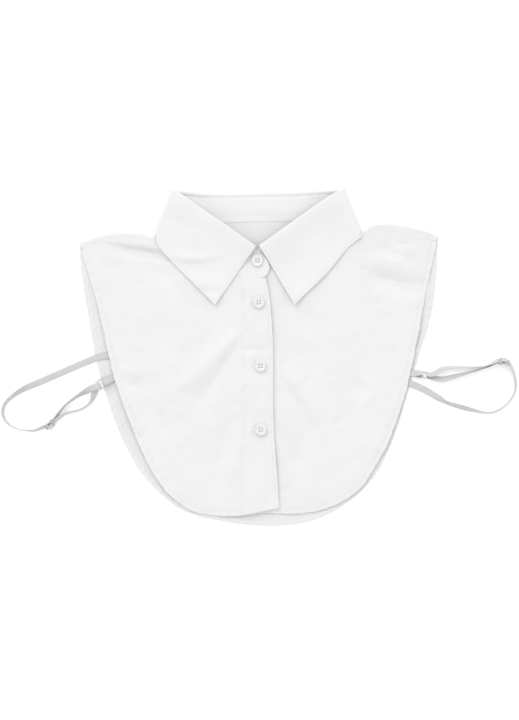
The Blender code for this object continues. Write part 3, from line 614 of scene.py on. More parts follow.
def make_ring(name, axes):
    half_along, half_across, squareness, count = 3.4, 4.2, 3.6, 56
    curve = bpy.data.curves.new(name, "CURVE")
    curve.dimensions = "3D"
    curve.bevel_depth = WIRE / 2 * MM
    curve.bevel_resolution = 4
    spline = curve.splines.new("POLY")
    spline.points.add(count - 1)
    spline.use_cyclic_u = True
    for step, point in enumerate(spline.points):
        angle = 2 * math.pi * step / count
        c, s = math.cos(angle), math.sin(angle)
        a = math.copysign(half_along * abs(c) ** (2 / squareness), c)
        b = math.copysign(half_across * abs(s) ** (2 / squareness), s)
        point.co = (*(axes.point(a, b, 0.0) * MM), 1.0)
    bent = bpy.data.objects.new(name, curve)
    mesh = bpy.data.meshes.new_from_object(bent)
    bpy.data.objects.remove(bent)
    return linked(name, mesh, fitting)


def make_slider(name, axes):
    along, across = [-5.0, -3.9, -0.55, 0.55, 3.9, 5.0], [-4.5, -3.4, 3.4, 4.5]
    plate = bmesh.new()
    bmesh.ops.create_grid(plate, x_segments=len(along) - 1, y_segments=len(across) - 1,
                          size=1.0)
    # The grid runs from -1 to 1, so the faces of the two slots are at -0.4 and 0.4
    slots = [face for face in plate.faces
             if abs(abs(face.calc_center_median().x) - 0.4) < 0.05
             and abs(face.calc_center_median().y) < 0.05]
    bmesh.ops.delete(plate, geom=slots, context="FACES")
    places = [(a, b) for b in across for a in along]
    for vert, (a, b) in zip(plate.verts, places):
        vert.co = axes.point(a, b, 0.0) * MM
    bmesh.ops.subdivide_edges(plate, edges=plate.edges, cuts=2, use_grid_fill=True)
    mesh = bpy.data.meshes.new(name)
    plate.to_mesh(mesh)
    plate.free()
    item = linked(name, mesh, fitting, smooth_faces=False)
    wall = item.modifiers.new("plate", "SOLIDIFY")
    wall.thickness = 1.0 * MM
    wall.offset = 0.0
    edge = item.modifiers.new("edges", "BEVEL")
    edge.width = 0.3 * MM
    edge.segments = 3
    edge.limit_method = "ANGLE"
    return item


sliders = {}
for side, strap in STRAPS.items():
    ring = make_ring("wire_ring_" + side, Axes(**strap["ring"]))
    as_piece(ring, "ring_" + side)
    sliders[side] = make_slider("strap_slider_" + side, Axes(**strap["slider"]))
    as_piece(sliders[side], "slider_" + side)
    points = strap_lines[side][0] * MM
print("hardware ready")

# %% [markdown]
# ## How the cloth lies
# The fronts bulge a little over the back and die down to the hem. On that form come the
# creases. Each row of the table is one crease: the points that it runs through, how wide it
# is, how high it stands (below zero it is a trough), and how much one flank is steeper than
# the other. No two have the same length or depth. Cloth simulation could drape the panels,
# but it wouldn't put these creases where they really are.

# %% Creases
FRONT_CREASES = [
    dict(at=[(-18, 30), (-50, -6), (-90, -37)], wide=10, high=2.7, lean=0.5),
    dict(at=[(-14, 22), (-38, -16), (-60, -52)], wide=6, high=-1.5, lean=-0.3),
    dict(at=[(-20, -40), (-34, -78), (-45, -127)], wide=11, high=-2.6, lean=0.5),
    dict(at=[(-26, -52), (-22, -92), (-30, -122)], wide=6, high=0.95, lean=0.0),
    dict(at=[(24, -8), (45, -36), (59, -65)], wide=10, high=2.6, lean=-0.5),
    dict(at=[(20, -20), (40, -52), (50, -84)], wide=6, high=-1.19, lean=0.3),
    dict(at=[(78, -22), (94, -30), (105, -41)], wide=10, high=-1.42, lean=0.4),
    dict(at=[(40, -72), (38, -92), (34, -113)], wide=10, high=-1.66, lean=-0.4),
    dict(at=[(-132, -15), (-120, -18), (-109, -17)], wide=8, high=1.42, lean=0.9),
    dict(at=[(-136, -22), (-118, -27), (-98, -24)], wide=7, high=-1.19, lean=0.2),
    dict(at=[(104, 82), (128, 71), (160, 66)], wide=8, high=-3.2, lean=-0.8),
    dict(at=[(100, 94), (126, 86), (154, 80)], wide=7, high=1.7, lean=0.2),
    dict(at=[(-23, 8), (-6, 7), (10, 7)], wide=3.5, high=-0.71, lean=-0.5),
    dict(at=[(-20, 72), (-15, 64), (-13, 57)], wide=3, high=1.06, lean=0.8),
    dict(at=[(-26, 66), (-20, 56), (-18, 44)], wide=5, high=-0.95, lean=0.0),
    dict(at=[(-136, 104.5), (-114, 99.5), (-80, 95)], wide=5, high=-4.4, lean=-0.8),
    dict(at=[(-146, 112), (-124, 108), (-96, 104)], wide=4, high=1.5, lean=-0.3),
    dict(at=[(-112, 92), (-96, 84), (-80, 70)], wide=9, high=-2.0, lean=-0.5),
    dict(at=[(-142, 111), (-122, 106), (-98, 101)], wide=3.5, high=-0.69, lean=0.4),
    dict(at=[(-150, 83), (-140, 86), (-128, 84)], wide=5, high=-0.5, lean=0.2),
    dict(at=[(120, 108), (136, 100), (150, 104)], wide=5, high=1.06, lean=0.4),
    dict(at=[(112, 96), (124, 92), (140, 90)], wide=4, high=0.95, lean=0.0),
    dict(at=[(122, -18), (126, -30), (125, -44)], wide=6, high=-1.06, lean=0.5),
    dict(at=[(-96, 40), (-70, 34), (-40, 36)], wide=9, high=0.59, lean=0.3),
    dict(at=[(30, 26), (62, 16), (96, 22)], wide=10, high=0.71, lean=0.3),
    dict(at=[(-120, -46), (-96, -62), (-70, -70)], wide=10, high=-0.83, lean=0.3),
    dict(at=[(62, -98), (78, -86), (98, -82)], wide=9, high=0.83, lean=-0.2),
    dict(at=[(-70, -104), (-60, -122), (-56, -142)], wide=7, high=0.95, lean=0.2),
    dict(at=[(20, 60), (42, 30), (60, 6)], wide=10, high=-0.83, lean=0.2),
    dict(at=[(-14, 40), (-9, 30), (-10, 18)], wide=3, high=0.5, lean=0.3),
    dict(at=[(-24, 28), (-14, 24), (-4, 25)], wide=3, high=-0.4, lean=0.2),
    dict(at=[(-20, -22), (-8, -26), (4, -24)], wide=3.5, high=0.4, lean=0.3),
    dict(at=[(-12, -84), (-4, -94), (6, -98)], wide=4, high=-0.5, lean=0.3),
    dict(at=[(-22, -100), (-10, -110), (-6, -124)], wide=4, high=0.45, lean=0.0),
    dict(at=[(20, -62), (30, -74), (34, -90)], wide=4, high=0.4, lean=0.3),
    dict(at=[(-60, 60), (-44, 44), (-36, 26)], wide=7, high=-0.4, lean=0.3),
]
print(len(FRONT_CREASES), "creases placed by hand")

# %% [markdown]
# ## Height of the front layer
# Small creases that pull towards the buttons are added to the table at random, from a fixed
# seed. A crease is measured along its smooth path, and tapers to nothing at both ends. A few
# long waves keep the cloth between the creases from being flat.

# %% Front layer
def small_creases(seed, count, middle, reach):
    """Short soft creases of uneven size, most of them pulling towards the buttons."""
    draw = np.random.default_rng(seed)
    rows = []
    for _ in range(count):
        x, y = np.array(middle) + draw.uniform(-1, 1, 2) * reach
        angle = math.atan2(-10.0 - y, -x) + draw.normal(0.0, 0.7)
        half, bend = draw.uniform(6, 20), draw.uniform(-3, 3)
        step = np.array((math.cos(angle), math.sin(angle))) * half
        turned = np.array((-step[1], step[0])) / half * bend
        rows.append(dict(at=[(x - step[0], y - step[1]), (x + turned[0], y + turned[1]),
                             (x + step[0], y + step[1])], wide=draw.uniform(2.2, 5.5),
                         high=draw.choice((-1, 1)) * draw.uniform(0.15, 0.55),
                         lean=draw.uniform(-0.6, 0.6)))
    return rows


FRONT_CREASES += small_creases(5, 34, (-75, -30), (70, 100))
FRONT_CREASES += small_creases(6, 30, (75, -30), (66, 100))


def creased(x, y, creases):
    """Sum of the creases' heights at each point."""
    x, y = np.asarray(x, float), np.asarray(y, float)
    height = np.zeros(x.shape)
    for crease in creases:
        if "path" not in crease:
            crease["path"] = even_rows(crease["at"], 14)
        path = crease["path"]
        best = np.full(x.shape, 1e9)
        signed, place = np.zeros(x.shape), np.zeros(x.shape)
        for i, (start, stop) in enumerate(zip(path, path[1:])):
            run = stop - start
            share = ((x - start[0]) * run[0] + (y - start[1]) * run[1]) / np.dot(run, run)
            share = np.clip(share, 0.0, 1.0)
            dx, dy = x - start[0] - share * run[0], y - start[1] - share * run[1]
            away = np.hypot(dx, dy)
            nearer = away < best
            best = np.where(nearer, away, best)
            side = np.sign(run[0] * dy - run[1] * dx)
            signed = np.where(nearer, side * away, signed)
            place = np.where(nearer, (i + share) / (len(path) - 1), place)
        reach = signed / crease["wide"]
        taper = smooth(place, -0.12, 0.35) * (1.0 - smooth(place, 0.6, 1.12))
        height += crease["high"] * taper * np.exp(-reach ** 2) * (1.0 + crease["lean"] * reach)
    return height


def waves(x, y, seed, lengths, size):
    """Soft unevenness: a few waves of each length, in directions and phases of their own."""
    draw = np.random.default_rng(seed)
    height = np.zeros(np.shape(x))
    for length in lengths:
        for _ in range(4):
            angle, phase = draw.uniform(0, 2 * math.pi, 2)
            strength = draw.uniform(0.5, 1.0)
            crosswise = np.asarray(x) * math.sin(angle) - np.asarray(y) * math.cos(angle)
            bend = 0.35 * np.sin(2 * math.pi * crosswise / (2.7 * length))
            turn = 2 * math.pi * (x * math.cos(angle) + y * math.sin(angle)) / length
            height += strength * np.sin(turn + phase + bend * 2.0) * length / max(lengths)
    return height * size / (2.0 * len(lengths))


def front_form(x, y):
    """Middle of the front layer with no creases: a low dome, highest at the neck."""
    fall_off = (np.abs(x) / HALF_WIDTH) ** 5 + (np.clip(60.0 - y, 0.0, None) / DROP) ** 4
    return HEM_LIFT + 0.5 * CLOTH + DOME * np.clip(1.0 - fall_off, 0.0, None)


def front_middle(x, y, layers=0.0):
    """Middle of a cloth wall in the front layer, or so many layers above it."""
    x, y = np.asarray(x, float), np.asarray(y, float)
    uneven = creased(x, y, FRONT_CREASES)
    uneven += waves(x, y, 3, (70.0, 38.0), 0.7) + waves(x, y, 4, (23.0, 13.0), 0.38)
    return np.maximum(front_form(x, y) + uneven, 1.5) + layers * PLY


def back_middle(x, y):
    """Middle of the back panel: on the table, or on the fall of the collar."""
    on_fall = smooth(y, 99.0, 111.0) * (1.0 - smooth(np.abs(x), 105.0, 124.0))
    return 0.5 + PLY * on_fall


def right_front_rise(x):
    return PLY * smooth(x, OVERLAP_EDGE - 40.0, OVERLAP_EDGE)


sample = front_middle(np.linspace(-150, 150, 60), np.zeros(60))
print("front layer from %.1f to %.1f mm high" % (sample.min(), sample.max()))

# %% [markdown]
# ## Hems
# A hem is cloth turned under twice and sewn, so it is thicker, and the stitching draws it into
# small puckers. For each point of a panel, a search tree finds the nearest place on the
# outline. The distance tells whether the point is in the hem, and the length gone along the
# outline gives the pucker its rhythm.

# %% Hem helper
class Edge:
    """An outline, with the distance to it and the place along it for any points."""

    def __init__(self, points):
        self.path = smooth_path(points)
        self.gone = travelled(self.path)
        self.tree = kdtree.KDTree(len(self.path))
        for index, (x, y) in enumerate(self.path[:, :2]):
            self.tree.insert((x, y, 0.0), index)
        self.tree.balance()

    def measure(self, x, y):
        """Distance to the outline, place along it and its direction there."""
        found = [self.tree.find((a, b, 0.0)) for a, b in zip(np.ravel(x), np.ravel(y))]
        nearest = [row[1] for row in found]
        away = np.array([row[2] for row in found]).reshape(np.shape(x))
        along = unit(np.gradient(self.path[:, :2], axis=0))[nearest]
        return away, self.gone[nearest].reshape(np.shape(x)), along.reshape(*np.shape(x), 2)

    def inside(self, distance, spacing, start=0.0, stop=0.0):
        """Rows of a line that runs a distance inside the outline, evenly spaced."""
        count = max(2, int((self.gone[-1] - start - stop) / spacing))
        wanted = np.linspace(start, self.gone[-1] - stop, count)
        line = np.stack([np.interp(wanted, self.gone, self.path[:, c]) for c in (0, 1)], 1)
        along = unit(np.gradient(line, axis=0))
        return line + distance * np.stack([-along[:, 1], along[:, 0]], 1)


def rhythm(place, lengths, seed):
    """An uneven beat between -1 and 1 along a seam: each wave length wanders a little."""
    draw = np.random.default_rng(seed)
    total = 0.0
    for length in lengths:
        wander = 0.9 * np.sin(place / (2.1 * length) + draw.uniform(0, 6))
        total = total + np.sin(2 * math.pi * place / length + wander + draw.uniform(0, 6))
    return total / len(lengths)


def hem(away, place, width, seed, pucker=0.3, rise=1.0):
    """Share of doubled cloth in a hem, and the height that its sewing and slack give it."""
    doubled = 1.0 - smooth(away, width - 0.5, width + 0.7)
    drawn_in = np.exp(-((away - width + 0.8) / 2.0) ** 2)
    band = 1.0 - smooth(away, width, width + 3.0)
    height = pucker * rhythm(place + 0.7 * away, (4.1, 6.3, 9.7), seed) * band
    height = height - 0.3 * drawn_in * (1.0 + 0.4 * rhythm(place, (9.0, 31.0), seed + 1))
    slack = rise * (0.55 + 0.45 * rhythm(place, (37.0, 83.0), seed + 2))
    return doubled, height + slack * (1.0 - smooth(away, 0.0, 13.0))


def rippled(plan, away, place, along, seed, size=0.45):
    """Plan points with the edge made a little uneven, as a sewn hem is."""
    shift = size * rhythm(place, (7.5, 12.0, 29.0), seed) * (1.0 - smooth(away, 0.0, 7.0))
    return plan + shift[..., None] * np.stack([-along[..., 1], along[..., 0]], -1)


def rounded(away):
    """Share of the thickness that the rounding of an edge leaves, by distance from it."""
    return smooth(away, -0.35, 0.7)


def plies_of(doubled, away):
    """Weight of the thickness: one ply, or a whole hem where doubled is 1."""
    return (SINGLE + (1.0 - SINGLE) * doubled) * rounded(away)


back_edge = Edge(BACK_OUTLINE)
front_edges = {side: Edge(FRONT_OUTLINE[side]) for side in ("left", "right")}
HEM = 5.2
BACK_HEM = 5.6
print("hems %.1f mm wide" % HEM)

# %% [markdown]
# ## Back panel
# The back is one piece from the hem to the neck seam. Its shoulders run over the top and
# forward to a seam on the front, so rows go round a half turn at each shoulder and on to
# that seam. A blended patch fills the flat part: it mixes four curved sides, so that the
# sheet's rows follow the hem and the neck at once.

# %% Back panel
def patch(inner, outer, start, stop, down, across):
    """Plan points blended between four sides, rows running from inner to outer."""
    t, s = np.asarray(down)[:, None, None], np.asarray(across)[None, :, None]
    corners = ((1 - s) * (1 - t) * inner[0] + s * (1 - t) * inner[-1]
               + (1 - s) * t * outer[0] + s * t * outer[-1])
    return ((1 - t) * inner[None] + t * outer[None]
            + (1 - s) * start[:, None] + s * stop[:, None] - corners)


def half_turn(centre, outward, low, high, radius, steps):
    """Points of a bend from the height low, round the outside, to the height high."""
    angle = np.radians(-90.0 + 180.0 * np.arange(steps + 1) / steps)
    centre, outward = np.asarray(centre)[None], np.asarray(outward)[None]
    plan = centre + outward * radius * np.cos(angle)[:, None]
    z = (low + high) / 2 + (high - low) / 2 * np.sin(angle)
    return np.concatenate([plan, z[:, None]], 1)


def shoulder_wrap(side, shares, fold_steps, flat_steps):
    """Back panel past the shoulder fold: round the bend and on to the shoulder seam."""
    fold, seam = rows_at(SHOULDER_FOLD[side], shares), rows_at(SHOULDER_SEAM[side], shares)
    along = unit(np.gradient(fold, axis=0))
    outward = np.stack([along[:, 1], -along[:, 0]], 1) * (1 if side == "left" else -1)
    low, high = back_middle(*fold.T), front_middle(*fold.T)
    bends = [half_turn(centre, normal, start, stop, (stop - start) / 2, fold_steps)[1:]
             for centre, normal, start, stop in zip(fold, outward, low, high)]
    last = seam + unit(seam - fold) * SEAM_LAP
    share = np.linspace(0, 1, flat_steps + 1)[1:]
    plan = fold[:, None] + (last - fold)[:, None] * share[None, :, None]
    lap = smooth(np.linalg.norm(plan - seam[:, None], axis=2), 4.5, 0.5)
    gone = travelled(seam)[:, None]
    z = front_middle(plan[..., 0], plan[..., 1]) + SEAM_RISE[side] * lap
    z = z + 0.1 * lap * np.sin(gone / 1.9 + np.sin(gone / 6.0))
    return np.concatenate([np.array(bends), np.concatenate([plan, z[..., None]], 2)], 1)


LIES_AT, HEM_ADDS = 0.32, 0.26   # middle of a ply that lies on the table, and a hem's more
SEAM_LAP = 0.9          # how far the shoulder laps over the front's seam
SEAM_RISE = {"left": 0.34, "right": 0.28}
across, down_rows = np.linspace(0, 1, 440), shares_for(270.0, 1.2)
by_edge = (down_rows < 0.02) | (down_rows > 0.9)   # only the hem needs rows this close
down_rows = down_rows[by_edge | (np.arange(len(down_rows)) % 3 == 0)]
rows = len(down_rows)
plan = patch(rows_at([(x, y - SEAM) for x, y in BACK_NECK], across),
             rows_at(BACK_OUTLINE, across),
             rows_at(SHOULDER_FOLD["left"], down_rows),
             rows_at(SHOULDER_FOLD["right"], down_rows), down_rows, across)
x, y = plan[..., 0], plan[..., 1]
away, place, along = back_edge.measure(x, y)
plan = rippled(plan, away, place, along, 10, 0.3)
doubled, height = hem(away, place, BACK_HEM, 11, pucker=0.6, rise=0.3)
z = back_middle(x, y) + np.maximum(height, -0.05)
z += 0.25 * (0.5 + 0.5 * waves(x, y, 12, (46.0, 21.0), 1.0)) * smooth(away, 0.0, 9.0)
z = np.maximum(z, LIES_AT + HEM_ADDS * doubled)
left = shoulder_wrap("left", down_rows, 8, 12)
right = shoulder_wrap("right", down_rows, 8, 12)
flat = np.concatenate([plan, z[..., None]], 2)
feather = np.full(left.shape[1], SINGLE)
feather[-3:] = (0.4, 0.25, 0.05)
feather = np.tile(feather, (rows, 1))
# the back panel wears the darker copy of the cotton, which is painted shade
bib_back = cloth_wall("bib_back", np.concatenate([left[:, ::-1], flat, right], 1),
                      painted_shade_back_cotton, WALL,
                      np.concatenate([feather[:, ::-1], plies_of(doubled, away), feather], 1))
as_piece(bib_back, "back_panel")

# %% [markdown]
# ## Fronts
# The two fronts share one height function, so the creases run on from one to the other. The
# wearer's right front rises over the left one towards the middle.

# %% Fronts
BUTTON_HEIGHTS = (51.4, -9.0, -69.3)


def placket_lift(x, y):
    """The front edge stands off the other front where it isn't held by a button."""
    edge_rows = np.array(sorted((b, a) for a, b in FRONT_EDGE["left"]))
    from_edge = np.abs(x - np.interp(y, *edge_rows.T))
    held = sum(np.exp(-((y - at) / 15.0) ** 2) for at in BUTTON_HEIGHTS)
    slack = 0.9 * smooth(y, -5.0, 30.0) + 0.9 * np.exp(-((y + 100.0) / 22.0) ** 2) - 0.3
    return slack * (1.0 - 0.6 * np.clip(held, 0, 1)) * (1.0 - smooth(from_edge, 0.0, 13.0))


def make_front(side, name, node):
    down_rows, across = shares_for(200.0, 1.6), shares_for(300.0, 1.6)
    seam, edge = rows_at(SHOULDER_SEAM[side], down_rows), rows_at(FRONT_EDGE[side], down_rows)
    neck = rows_at([(x, y - SEAM) for x, y in FRONT_NECK[side]], across)
    outline = rows_at(FRONT_OUTLINE[side], across)
    neck[0], neck[-1] = seam[0], edge[0]
    outline[0], outline[-1] = seam[-1], edge[-1]
    plan = patch(neck, outline, seam, edge, down_rows, across)
    x, y = plan[..., 0], plan[..., 1]
    away, place, along = front_edges[side].measure(x, y)
    seed = 21 if side == "left" else 51
    plan = rippled(plan, away, place, along, seed + 7, 0.3 if side == "left" else 0.4)
    doubled, height = hem(away, place, HEM, seed, pucker=0.4 if side == "left" else 0.3,
                          rise=0.5)
    z = front_middle(x, y) + height - 0.6 * (1.0 - smooth(away, 0.0, 9.0))
    if side == "left":
        z = z + right_front_rise(x) + placket_lift(x, y)
    piece = cloth_wall(name, np.concatenate([plan, z[..., None]], 2), cotton, WALL,
                       plies_of(doubled, away))
    as_piece(piece, node)
    return piece


bib_front_under = make_front("right", "bib_front_under", "front_left")
bib_front_over = make_front("left", "bib_front_over", "front_right")

# %% [markdown]
# ## Placket
# The button band is a doubled strip on the wearer's right front. It takes its heights from
# the front under it, one layer up, so the two never touch.

# %% Placket
PLACKET_STITCH = 3.0   # the band's stitching, from either side of it
down_rows = np.linspace(0, 1, 190)
edge, seam = rows_at(FRONT_EDGE["left"], down_rows), rows_at(PLACKET_SEAM, down_rows)
edge[0, 1] += 0.7      # the top runs on a little, under the stand's end
seam[0, 1] += 0.3
share = shares_for(30.0, 1.3)[None, :, None]
plan = seam[:, None] + (edge - seam)[:, None] * share
x, y = plan[..., 0], plan[..., 1]
width = np.linalg.norm(edge - seam, axis=1)[:, None]
from_side = np.minimum(share[..., 0], 1 - share[..., 0]) * width
gone = travelled(edge)[:, None]
near_stitch = np.exp(-((from_side - PLACKET_STITCH) / 1.2) ** 2)
from_seam = share[..., 0] * width
settled = (PLY - 0.32) * (1 - smooth(from_seam, -1.5, 5.0))
z = front_middle(x, y, 1) + right_front_rise(x) + placket_lift(x, y) - settled
z += near_stitch * (0.07 * np.sin(gone / 1.7 + np.sin(gone / 8.0)) - 0.1)
button_placket = cloth_wall("button_placket", np.concatenate([plan, z[..., None]], 2), cotton,
                            0.8, (1.0 - 0.3 * near_stitch) * rounded(from_side)
                            * smooth(from_seam, -0.3, 2.5))
as_piece(button_placket, "placket")

# %% [markdown]
# ## Collar
# A collar is two bands. The stand goes round the neck and buttons in front. The leaf is sewn
# to its top edge and turns down over it. Laid flat, both bend sharply at the sides of the
# neck, with the leaf outside the stand. One function makes the rows of either band: down the
# left side, round the bend, along the back, round the other bend and down the right side.

# %% Collar bands
def side_direction(side):
    """Plan direction away from the neck across the side where the collar turns."""
    top, low = np.array(FOLD_FRONT[side][-1]), np.array(WING_EDGE[side][-1])
    along = (low - top) / np.linalg.norm(low - top)
    return np.array((along[1], -along[0])) * (1 if side == "left" else -1)


def collar_band(top, low, heights, radius, shares, turn_steps):
    """Rows of a band from one centre front, round the back, to the other.

    Returns its points, and for each column how much of it lies on top (1) or at the back (0).
    """
    columns, on_top = [], []
    for part in ("left", "back", "right"):
        upper, lower = top[part], low[part]
        if part == "right":
            upper, lower = upper[::-1], lower[::-1]
        plan = upper[:, None] + (lower - upper)[:, None] * shares[None, :, None]
        z = heights[part](plan[..., 0], plan[..., 1])
        columns += list(np.concatenate([plan, z[..., None]], 2))
        on_top += [0.0 if part == "back" else 1.0] * len(upper)
        if part == "right":
            continue
        side = "left" if part == "left" else "right"
        ends = upper[-1] + (lower[-1] - upper[-1]) * shares[:, None]
        bends = []
        for (x, y), reach in zip(ends, np.broadcast_to(radius, len(ends))):
            bend = half_turn((x, y), side_direction(side), float(heights["back"](x, y)),
                             float(heights[side](x, y)), float(reach), turn_steps)
            bends.append(bend[::-1] if side == "left" else bend)
        bends = np.array(bends)
        columns += [bends[:, step] for step in range(1, turn_steps)]
        turned = [0.5 + 0.5 * math.cos(math.pi * step / turn_steps)
                  for step in range(1, turn_steps)]
        on_top += turned if side == "left" else turned[::-1]
    return np.swapaxes(np.array(columns), 0, 1), np.array(on_top)


WING_CREASES = {
    "left": [
        dict(at=[(-92, 98), (-66, 92), (-36, 96)], wide=4.5, high=1.3, lean=0.6),
        dict(at=[(-84, 91), (-60, 87), (-34, 89)], wide=3.5, high=-0.65, lean=0.0),
        dict(at=[(-58, 62), (-46, 61), (-36, 62)], wide=3, high=-0.59, lean=0.2),
        dict(at=[(-82, 132), (-70, 124), (-58, 120)], wide=5, high=-0.45, lean=0.3),
        dict(at=[(-78, 84), (-56, 80), (-30, 82)], wide=4.5, high=-1.0, lean=0.3),
        dict(at=[(-62, 70), (-46, 68), (-30, 70)], wide=4, high=0.66, lean=0.0),
        dict(at=[(-76, 122), (-58, 112), (-40, 112)], wide=9, high=0.55, lean=0.4),
    ],
    "right": [
        dict(at=[(30, 110), (44, 92), (48, 74)], wide=9, high=0.66, lean=0.4),
        dict(at=[(88, 124), (72, 108), (60, 94)], wide=8, high=-0.55, lean=0.2),
        dict(at=[(24, 92), (34, 80), (40, 66)], wide=6, high=-0.55, lean=0.3),
    ],
}


FOLD_RISE = 4.0        # how far the fold stands up from the lie of the wing


def wing_middle(side):
    """Heights of one wing: a layer above the front, with creases of its own."""
    (x0, y0), (x1, y1) = FOLD_FRONT[side][0], FOLD_FRONT[side][-1]
    length = math.hypot(x1 - x0, y1 - y0)

    def middle(x, y):
        from_fold = np.abs((x - x0) * (y1 - y0) - (y - y0) * (x1 - x0)) / length
        place = ((x - x0) * (x1 - x0) + (y - y0) * (y1 - y0)) / length ** 2
        stands = FOLD_RISE * np.exp(-(from_fold / 17.0) ** 2) * (1 - smooth(place, 0.82, 1.08))
        z = front_form(x, y) + 0.5 * waves(x, y, 3, (70.0, 38.0), 0.6) + PLY + stands
        z = z + creased(x, y, WING_CREASES[side]) + waves(x, y, 31, (24.0, 12.0), 0.2)
        if side == "left":
            return z + right_front_rise(x)
        return z + PLY * (1.0 - smooth(x, 12.0, 48.0))
    return middle


print("wing creases:", {side: len(rows) for side, rows in WING_CREASES.items()})

# %% [markdown]
# ## Collar leaf
# The leaf starts where it is sewn inside the stand, rolls over the fold and runs down to its
# points. For the roll, each column knows two directions: away from the leaf's edge, and in
# towards the neck. A half circle between them gives the rounded fold that catches the light.
# The outer edges stand off the shirt a little, because a fused collar is stiff.

# %% Collar leaf
ROLL = 1.25            # radius of the fold
INSIDE = 2.4           # how far the leaf reaches down inside the stand
EDGE_STITCH = 2.4      # the collar's stitching, from its edge
turn_steps = 14
columns, back_columns = 74, 84
top = {side: even_rows(FOLD_FRONT[side], columns) for side in ("left", "right")}
low = {side: even_rows(WING_EDGE[side], columns) for side in ("left", "right")}
top["back"] = even_rows(FOLD_BACK, back_columns)
low["back"] = even_rows(FALL_EDGE, back_columns)
for part in top:       # the roll's outside is the fold that shows
    top[part] = top[part] + unit(low[part] - top[part]) * ROLL
WING_LENGTH = 70.0
last_shares = 1 - np.array((0.8, 0.3, 0.0)) / WING_LENGTH
shares = np.concatenate([np.linspace(0, 1, 42)[:-1], last_shares])
leaf, on_top = collar_band(
    top, low, {"left": wing_middle("left"), "right": wing_middle("right"),
               "back": lambda x, y: 0.5 + 0.0 * np.asarray(x)},
    TURN * (1 - 0.4 * smooth(shares, 0.9, 1.0)), shares, turn_steps)
down = unit(leaf[1] - leaf[0])
around = unit(np.gradient(leaf[0], axis=0))
inward = unit(np.cross(around, -down))
depth = np.linalg.norm(leaf[-1] - leaf[0], axis=1)
from_edge = (1 - shares)[:, None] * depth[None]
wing_gone = travelled(leaf[-1], 3)[None]
by_front = np.abs(leaf[0, :, 0])[None] / 30.0
lift = (0.6 + 1.1 * np.exp(-by_front ** 2)) * (1 - smooth(from_edge, 0.0, 30.0))
lift = lift * (0.85 + 0.15 * np.sin(wing_gone / 19.0))
leaf[..., 2] += lift * smooth(on_top, 0.55, 1.0)[None]
near_stitch = np.exp(-((from_edge - EDGE_STITCH) / 0.9) ** 2)
leaf[..., 2] += near_stitch * on_top[None] * (0.06 * np.sin(wing_gone / 1.6) - 0.1)
roll_rows = []
for angle in np.radians(np.linspace(180, 0, 11)[:-1]):
    roll_rows.append(leaf[0] + inward * ROLL * (1 - math.cos(angle))
                     - down * ROLL * math.sin(angle))
reach = 1.2 + (INSIDE - 1.2) * (1 - smooth(on_top, 0.0, 0.9))
settle = np.stack([0 * on_top, 0 * on_top, 0.4 * (1 - smooth(on_top, 0.0, 0.5))], 1)
under = [roll_rows[0] + down * (reach * s)[:, None] - settle * s
         for s in np.linspace(1, 0, 6)[:-1]]
own = len(under) + len(roll_rows)   # the row where the leaf itself begins
leaf = np.concatenate([np.array(under), np.array(roll_rows), leaf])
print("leaf", leaf.shape)
gone = travelled(leaf[own + 1], 3)
grain = np.stack([np.tile(gone, (len(leaf), 1)),
                  np.cumsum(np.concatenate([[0.0 * gone], np.linalg.norm(
                      np.diff(leaf, axis=0), axis=2)]), axis=0)], -1)
plies = np.full(leaf.shape[:2], 0.85)
plies[:3] = np.array([0.0, 0.35, 0.7])[:, None]
plies[own:] *= rounded(from_edge)
collar_leaf = cloth_wall("turned_down_collar", leaf, fused, BAND_WALL, plies, grain=grain)
as_piece(collar_leaf, "collar_leaf")

# %% [markdown]
# ## Collar stand
# The stand is sewn to the neck edge of the fronts and the back. Its front end is rounded and
# laps over the other end. It stands off the shirt there, and its shadow shows how thick it is.

# %% Collar stand
columns, back_columns = 96, 84
STAND_TOP = 0.05       # share of the stand's height that the leaf's fold takes
top, low = {}, {}
for side in ("left", "right"):
    end_top, end_low = STAND_END[side]
    top[side] = even_rows(end_top + FOLD_FRONT[side], columns)
    neck = [point for point in FRONT_NECK[side] if abs(point[0]) > 5.0][:4][::-1]
    neck = [(x, y - 0.7) for x, y in neck]
    low[side] = even_rows(end_low + neck + [STAND_SIDE[side]], columns)
top["back"] = even_rows(FOLD_BACK, back_columns)
low["back"] = even_rows([(x, y - 0.9) for x, y in BACK_NECK], back_columns)


def stand_middle(side):
    def middle(x, y):
        z = front_form(x, y) + 0.35 + 0.5 * waves(x, y, 3, (70.0, 38.0), 0.6)
        if side == "left":
            tip = smooth(x, -4.0, 9.0) * (1 - smooth(y, 90.0, 102.0))
            return z + right_front_rise(x) + 1.3 * tip
        return z
    return middle


def stand_back(x, y):
    """Inside of the stand at the back, with the small wrinkles by its right fold."""
    wrinkles = [
        dict(at=[(36, 151.5), (54, 152.5), (70, 154)], wide=1.3, high=0.35, lean=0.0),
        dict(at=[(40, 147.5), (56, 149), (66, 150)], wide=1.2, high=-0.3, lean=0.0),
        dict(at=[(-70, 148), (-58, 144), (-46, 142)], wide=3.0, high=0.3, lean=0.3),
        dict(at=[(-20, 138), (2, 141), (24, 137)], wide=4.0, high=0.2, lean=0.3),
    ]
    slack = 1.0 * (smooth(x, -56.0, -34.0) - smooth(x, 40.0, 50.0)) * smooth(y, 155.0, 148.0)
    slack = slack * (0.4 + 0.6 * smooth(y, 131.0, 140.0))
    return PLY + 0.62 + slack + creased(x, y, wrinkles) + waves(x, y, 41, (30.0, 13.0), 0.2)


